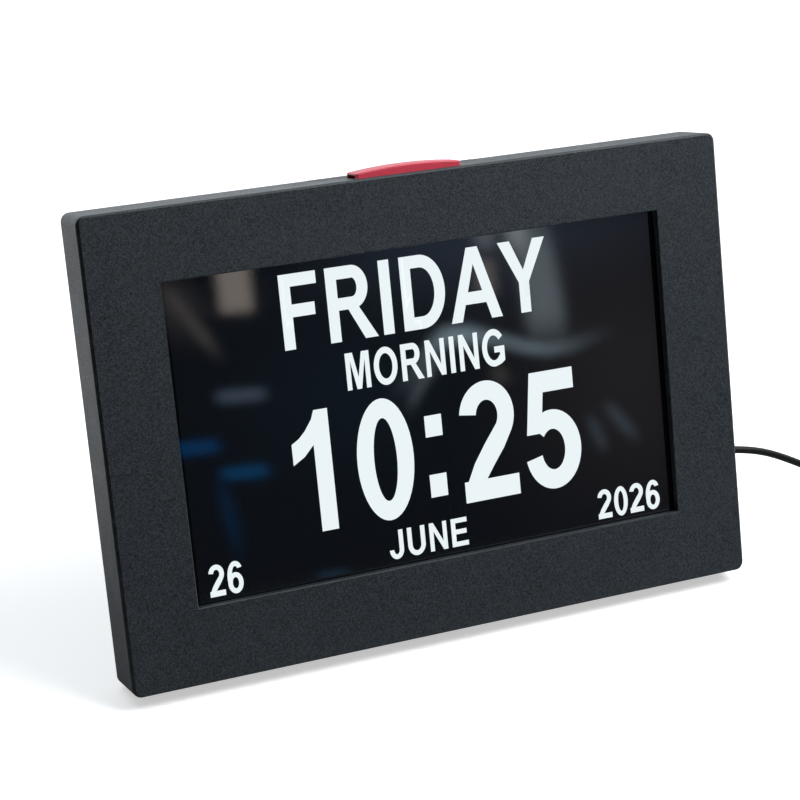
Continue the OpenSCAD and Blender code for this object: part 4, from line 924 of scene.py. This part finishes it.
def make_world(scene, sky):
    """Surroundings that the camera sees white, tinted for other rays and weaker for diffuse ones."""
    world = bpy.data.worlds.new("studio")
    scene.world = world
    world.use_nodes = True
    tree = world.node_tree
    camera, seen = eye_rays(tree)
    background = tree.nodes["Background"].inputs
    tree.links.new(maths(tree, "MULTIPLY_ADD", seen, 1.0 - sky, sky), background["Strength"])
    tree.links.new(mixed(tree, camera, SKY_TINT, (1, 1, 1)), background["Color"])


def make_floor(colour):
    """A pale paper floor that stays white to the eye and keeps the object's shadow."""
    mat, tree, shader = material("studio_floor")
    shader.inputs["Roughness"].default_value = 0.9
    shader.inputs["Specular IOR Level"].default_value = 0.1
    place = add(tree, "ShaderNodeTexCoord").outputs["Object"]
    paper = add(tree, "ShaderNodeTexNoise", {"Vector": place, "Scale": 300.0, "Detail": 3.0}).outputs["Fac"]
    tree.links.new(mixed(tree, paper, scaled(colour, 0.99), colour), shader.inputs["Base Color"])
    camera, seen = eye_rays(tree)
    reach = add(tree, "ShaderNodeVectorMath", {0: place}, operation="LENGTH").outputs["Value"]
    far = add(tree, "ShaderNodeMapRange",
              {"Value": reach, "From Min": FAR_FROM, "From Max": FAR_TO, "To Max": FAR_LIFT}).outputs[0]
    lifted = maths(tree, "MULTIPLY_ADD", camera, far, maths(tree, "MULTIPLY", seen, FLOOR_LIFT))
    lift = add(tree, "ShaderNodeEmission", {"Color": (1, 1, 1, 1), "Strength": lifted})
    both = add(tree, "ShaderNodeAddShader", {0: shader.outputs[0], 1: lift.outputs[0]})
    tree.links.new(both.outputs[0], tree.nodes["Material Output"].inputs["Surface"])
    bm = bmesh.new()
    bmesh.ops.create_circle(bm, cap_ends=True, segments=96, radius=FLOOR_RADIUS)
    stage_piece("studio_floor", bm, mat)


def make_card():
    """A dark card round the front, higher on the left, that darkens what the case reflects."""
    mat, _, _ = dark_material("dark_card")
    bm = bmesh.new()
    bmesh.ops.create_cone(bm, segments=64, radius1=CARD_RADIUS, radius2=CARD_RADIUS, depth=CARD_HEIGHT)
    bmesh.ops.translate(bm, vec=(0, 0, CARD_HEIGHT / 2), verts=bm.verts)
    behind = [v for v in bm.verts if v.co.y > (CARD_RIGHT_END if v.co.x > 0 else CARD_LEFT_END)]
    bmesh.ops.delete(bm, geom=behind, context="VERTS")
    for vert in bm.verts:
        if vert.co.z > CARD_HEIGHT / 2:
            vert.co.z += max(0.0, -vert.co.x)
    stage_piece("dark_card", bm, mat).visible_camera = False


def make_table():
    """A dark table that only reflections show, faint behind the object and fully dark in front of it."""
    mat, tree, shader = dark_material("dark_table")
    place = add(tree, "ShaderNodeTexCoord").outputs["Object"]
    depth = add(tree, "ShaderNodeSeparateXYZ", {0: place}).outputs["Y"]
    shift = maths(tree, "MULTIPLY_ADD", depth, -0.5, 0.5)
    fading(tree, ramp(tree, shift, TABLE_FADE), shader)
    bm = bmesh.new()
    bmesh.ops.create_circle(bm, cap_ends=True, segments=64, radius=TABLE_RADIUS)
    bmesh.ops.translate(bm, vec=(0, 0, TABLE_LIFT), verts=bm.verts)
    only_reflected(stage_piece("dark_table", bm, mat))


class DAYCLOCK_OT_camera(bpy.types.Operator):
    """Make the camera at the photograph's angle"""

    bl_idname = "day_clock.camera"
    bl_label = "Camera"

    def execute(self, context):
        data = bpy.data.cameras.new("view_camera")
        data.lens, data.sensor_width = LENS, SENSOR
        data.clip_start, data.clip_end = CLIP
        camera = bpy.data.objects.new("view_camera", data)
        context.scene.collection.objects.link(camera)
        ahead = Vector(CAMERA_AHEAD).normalized()
        right = Vector((ahead.y, -ahead.x, 0)).normalized()
        up = right.cross(ahead)
        turn = Matrix((right, up, -ahead)).transposed()
        camera.matrix_world = Matrix.Translation(CAMERA_PLACE) @ turn.to_4x4()
        context.scene.camera = camera
        return {"FINISHED"}


class DAYCLOCK_OT_stage(bpy.types.Operator):
    """Make the floor, the lamps, the white surroundings and what the glass reflects"""

    bl_idname = "day_clock.stage"
    bl_label = "Studio"

    def execute(self, context):
        level = settings()
        context.scene.view_settings.view_transform = "Standard"
        make_world(context.scene, level.sky)
        make_floor(level.floor_colour)
        make_card()
        make_table()
        for i, (name, route, width, colour, strength, soft) in enumerate(REFLECTED):
            ribbon(name, route, width, glowing(name, colour, strength, soft), BANDS_Y + BANDS_STEP * i)
        soft_lamp("main_lamp", place=(0.46, -0.36, 0.78), target=(0.06, 0, 0.1), size=0.5,
                  power=level.key_power)
        soft_lamp("rear_lamp", place=(-0.4, 1.4, 1.3), target=(0.0, 0, 0.08), size=1.4,
                  power=level.fill_power, colour=(0.85, 0.94, 1.0))
        return {"FINISHED"}


OPERATORS = (
    DAYCLOCK_OT_camera, DAYCLOCK_OT_cord, DAYCLOCK_OT_case, DAYCLOCK_OT_display, DAYCLOCK_OT_button,
    DAYCLOCK_OT_keys, DAYCLOCK_OT_stand, DAYCLOCK_OT_inside, DAYCLOCK_OT_stage,
)


class DAYCLOCK_PT_sidebar(bpy.types.Panel):
    """The day clock's pieces, in the sidebar"""

    bl_idname = "DAYCLOCK_PT_sidebar"
    bl_label = "Day Clock"
    bl_space_type = "VIEW_3D"
    bl_region_type = "UI"
    bl_category = "Day Clock"

    def draw(self, context):
        column = self.layout.column()
        for name in DayClockSettings.__annotations__:
            column.prop(context.scene.day_clock, name)
        for operator in OPERATORS:
            column.operator(operator.bl_idname)


CLASSES = (DayClockSettings, *OPERATORS, DAYCLOCK_PT_sidebar)


def register():
    for item in CLASSES:
        bpy.utils.register_class(item)
    bpy.types.Scene.day_clock = PointerProperty(type=DayClockSettings)


def unregister():
    del bpy.types.Scene.day_clock
    for item in reversed(CLASSES):
        bpy.utils.unregister_class(item)


def main():
    """Registers the add-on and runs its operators."""
    register()
    for operator in OPERATORS:
        group_name, call = operator.bl_idname.split(".")
        getattr(getattr(bpy.ops, group_name), call)()
    bpy.context.view_layer.update()


if __name__ == "__main__":
    main()
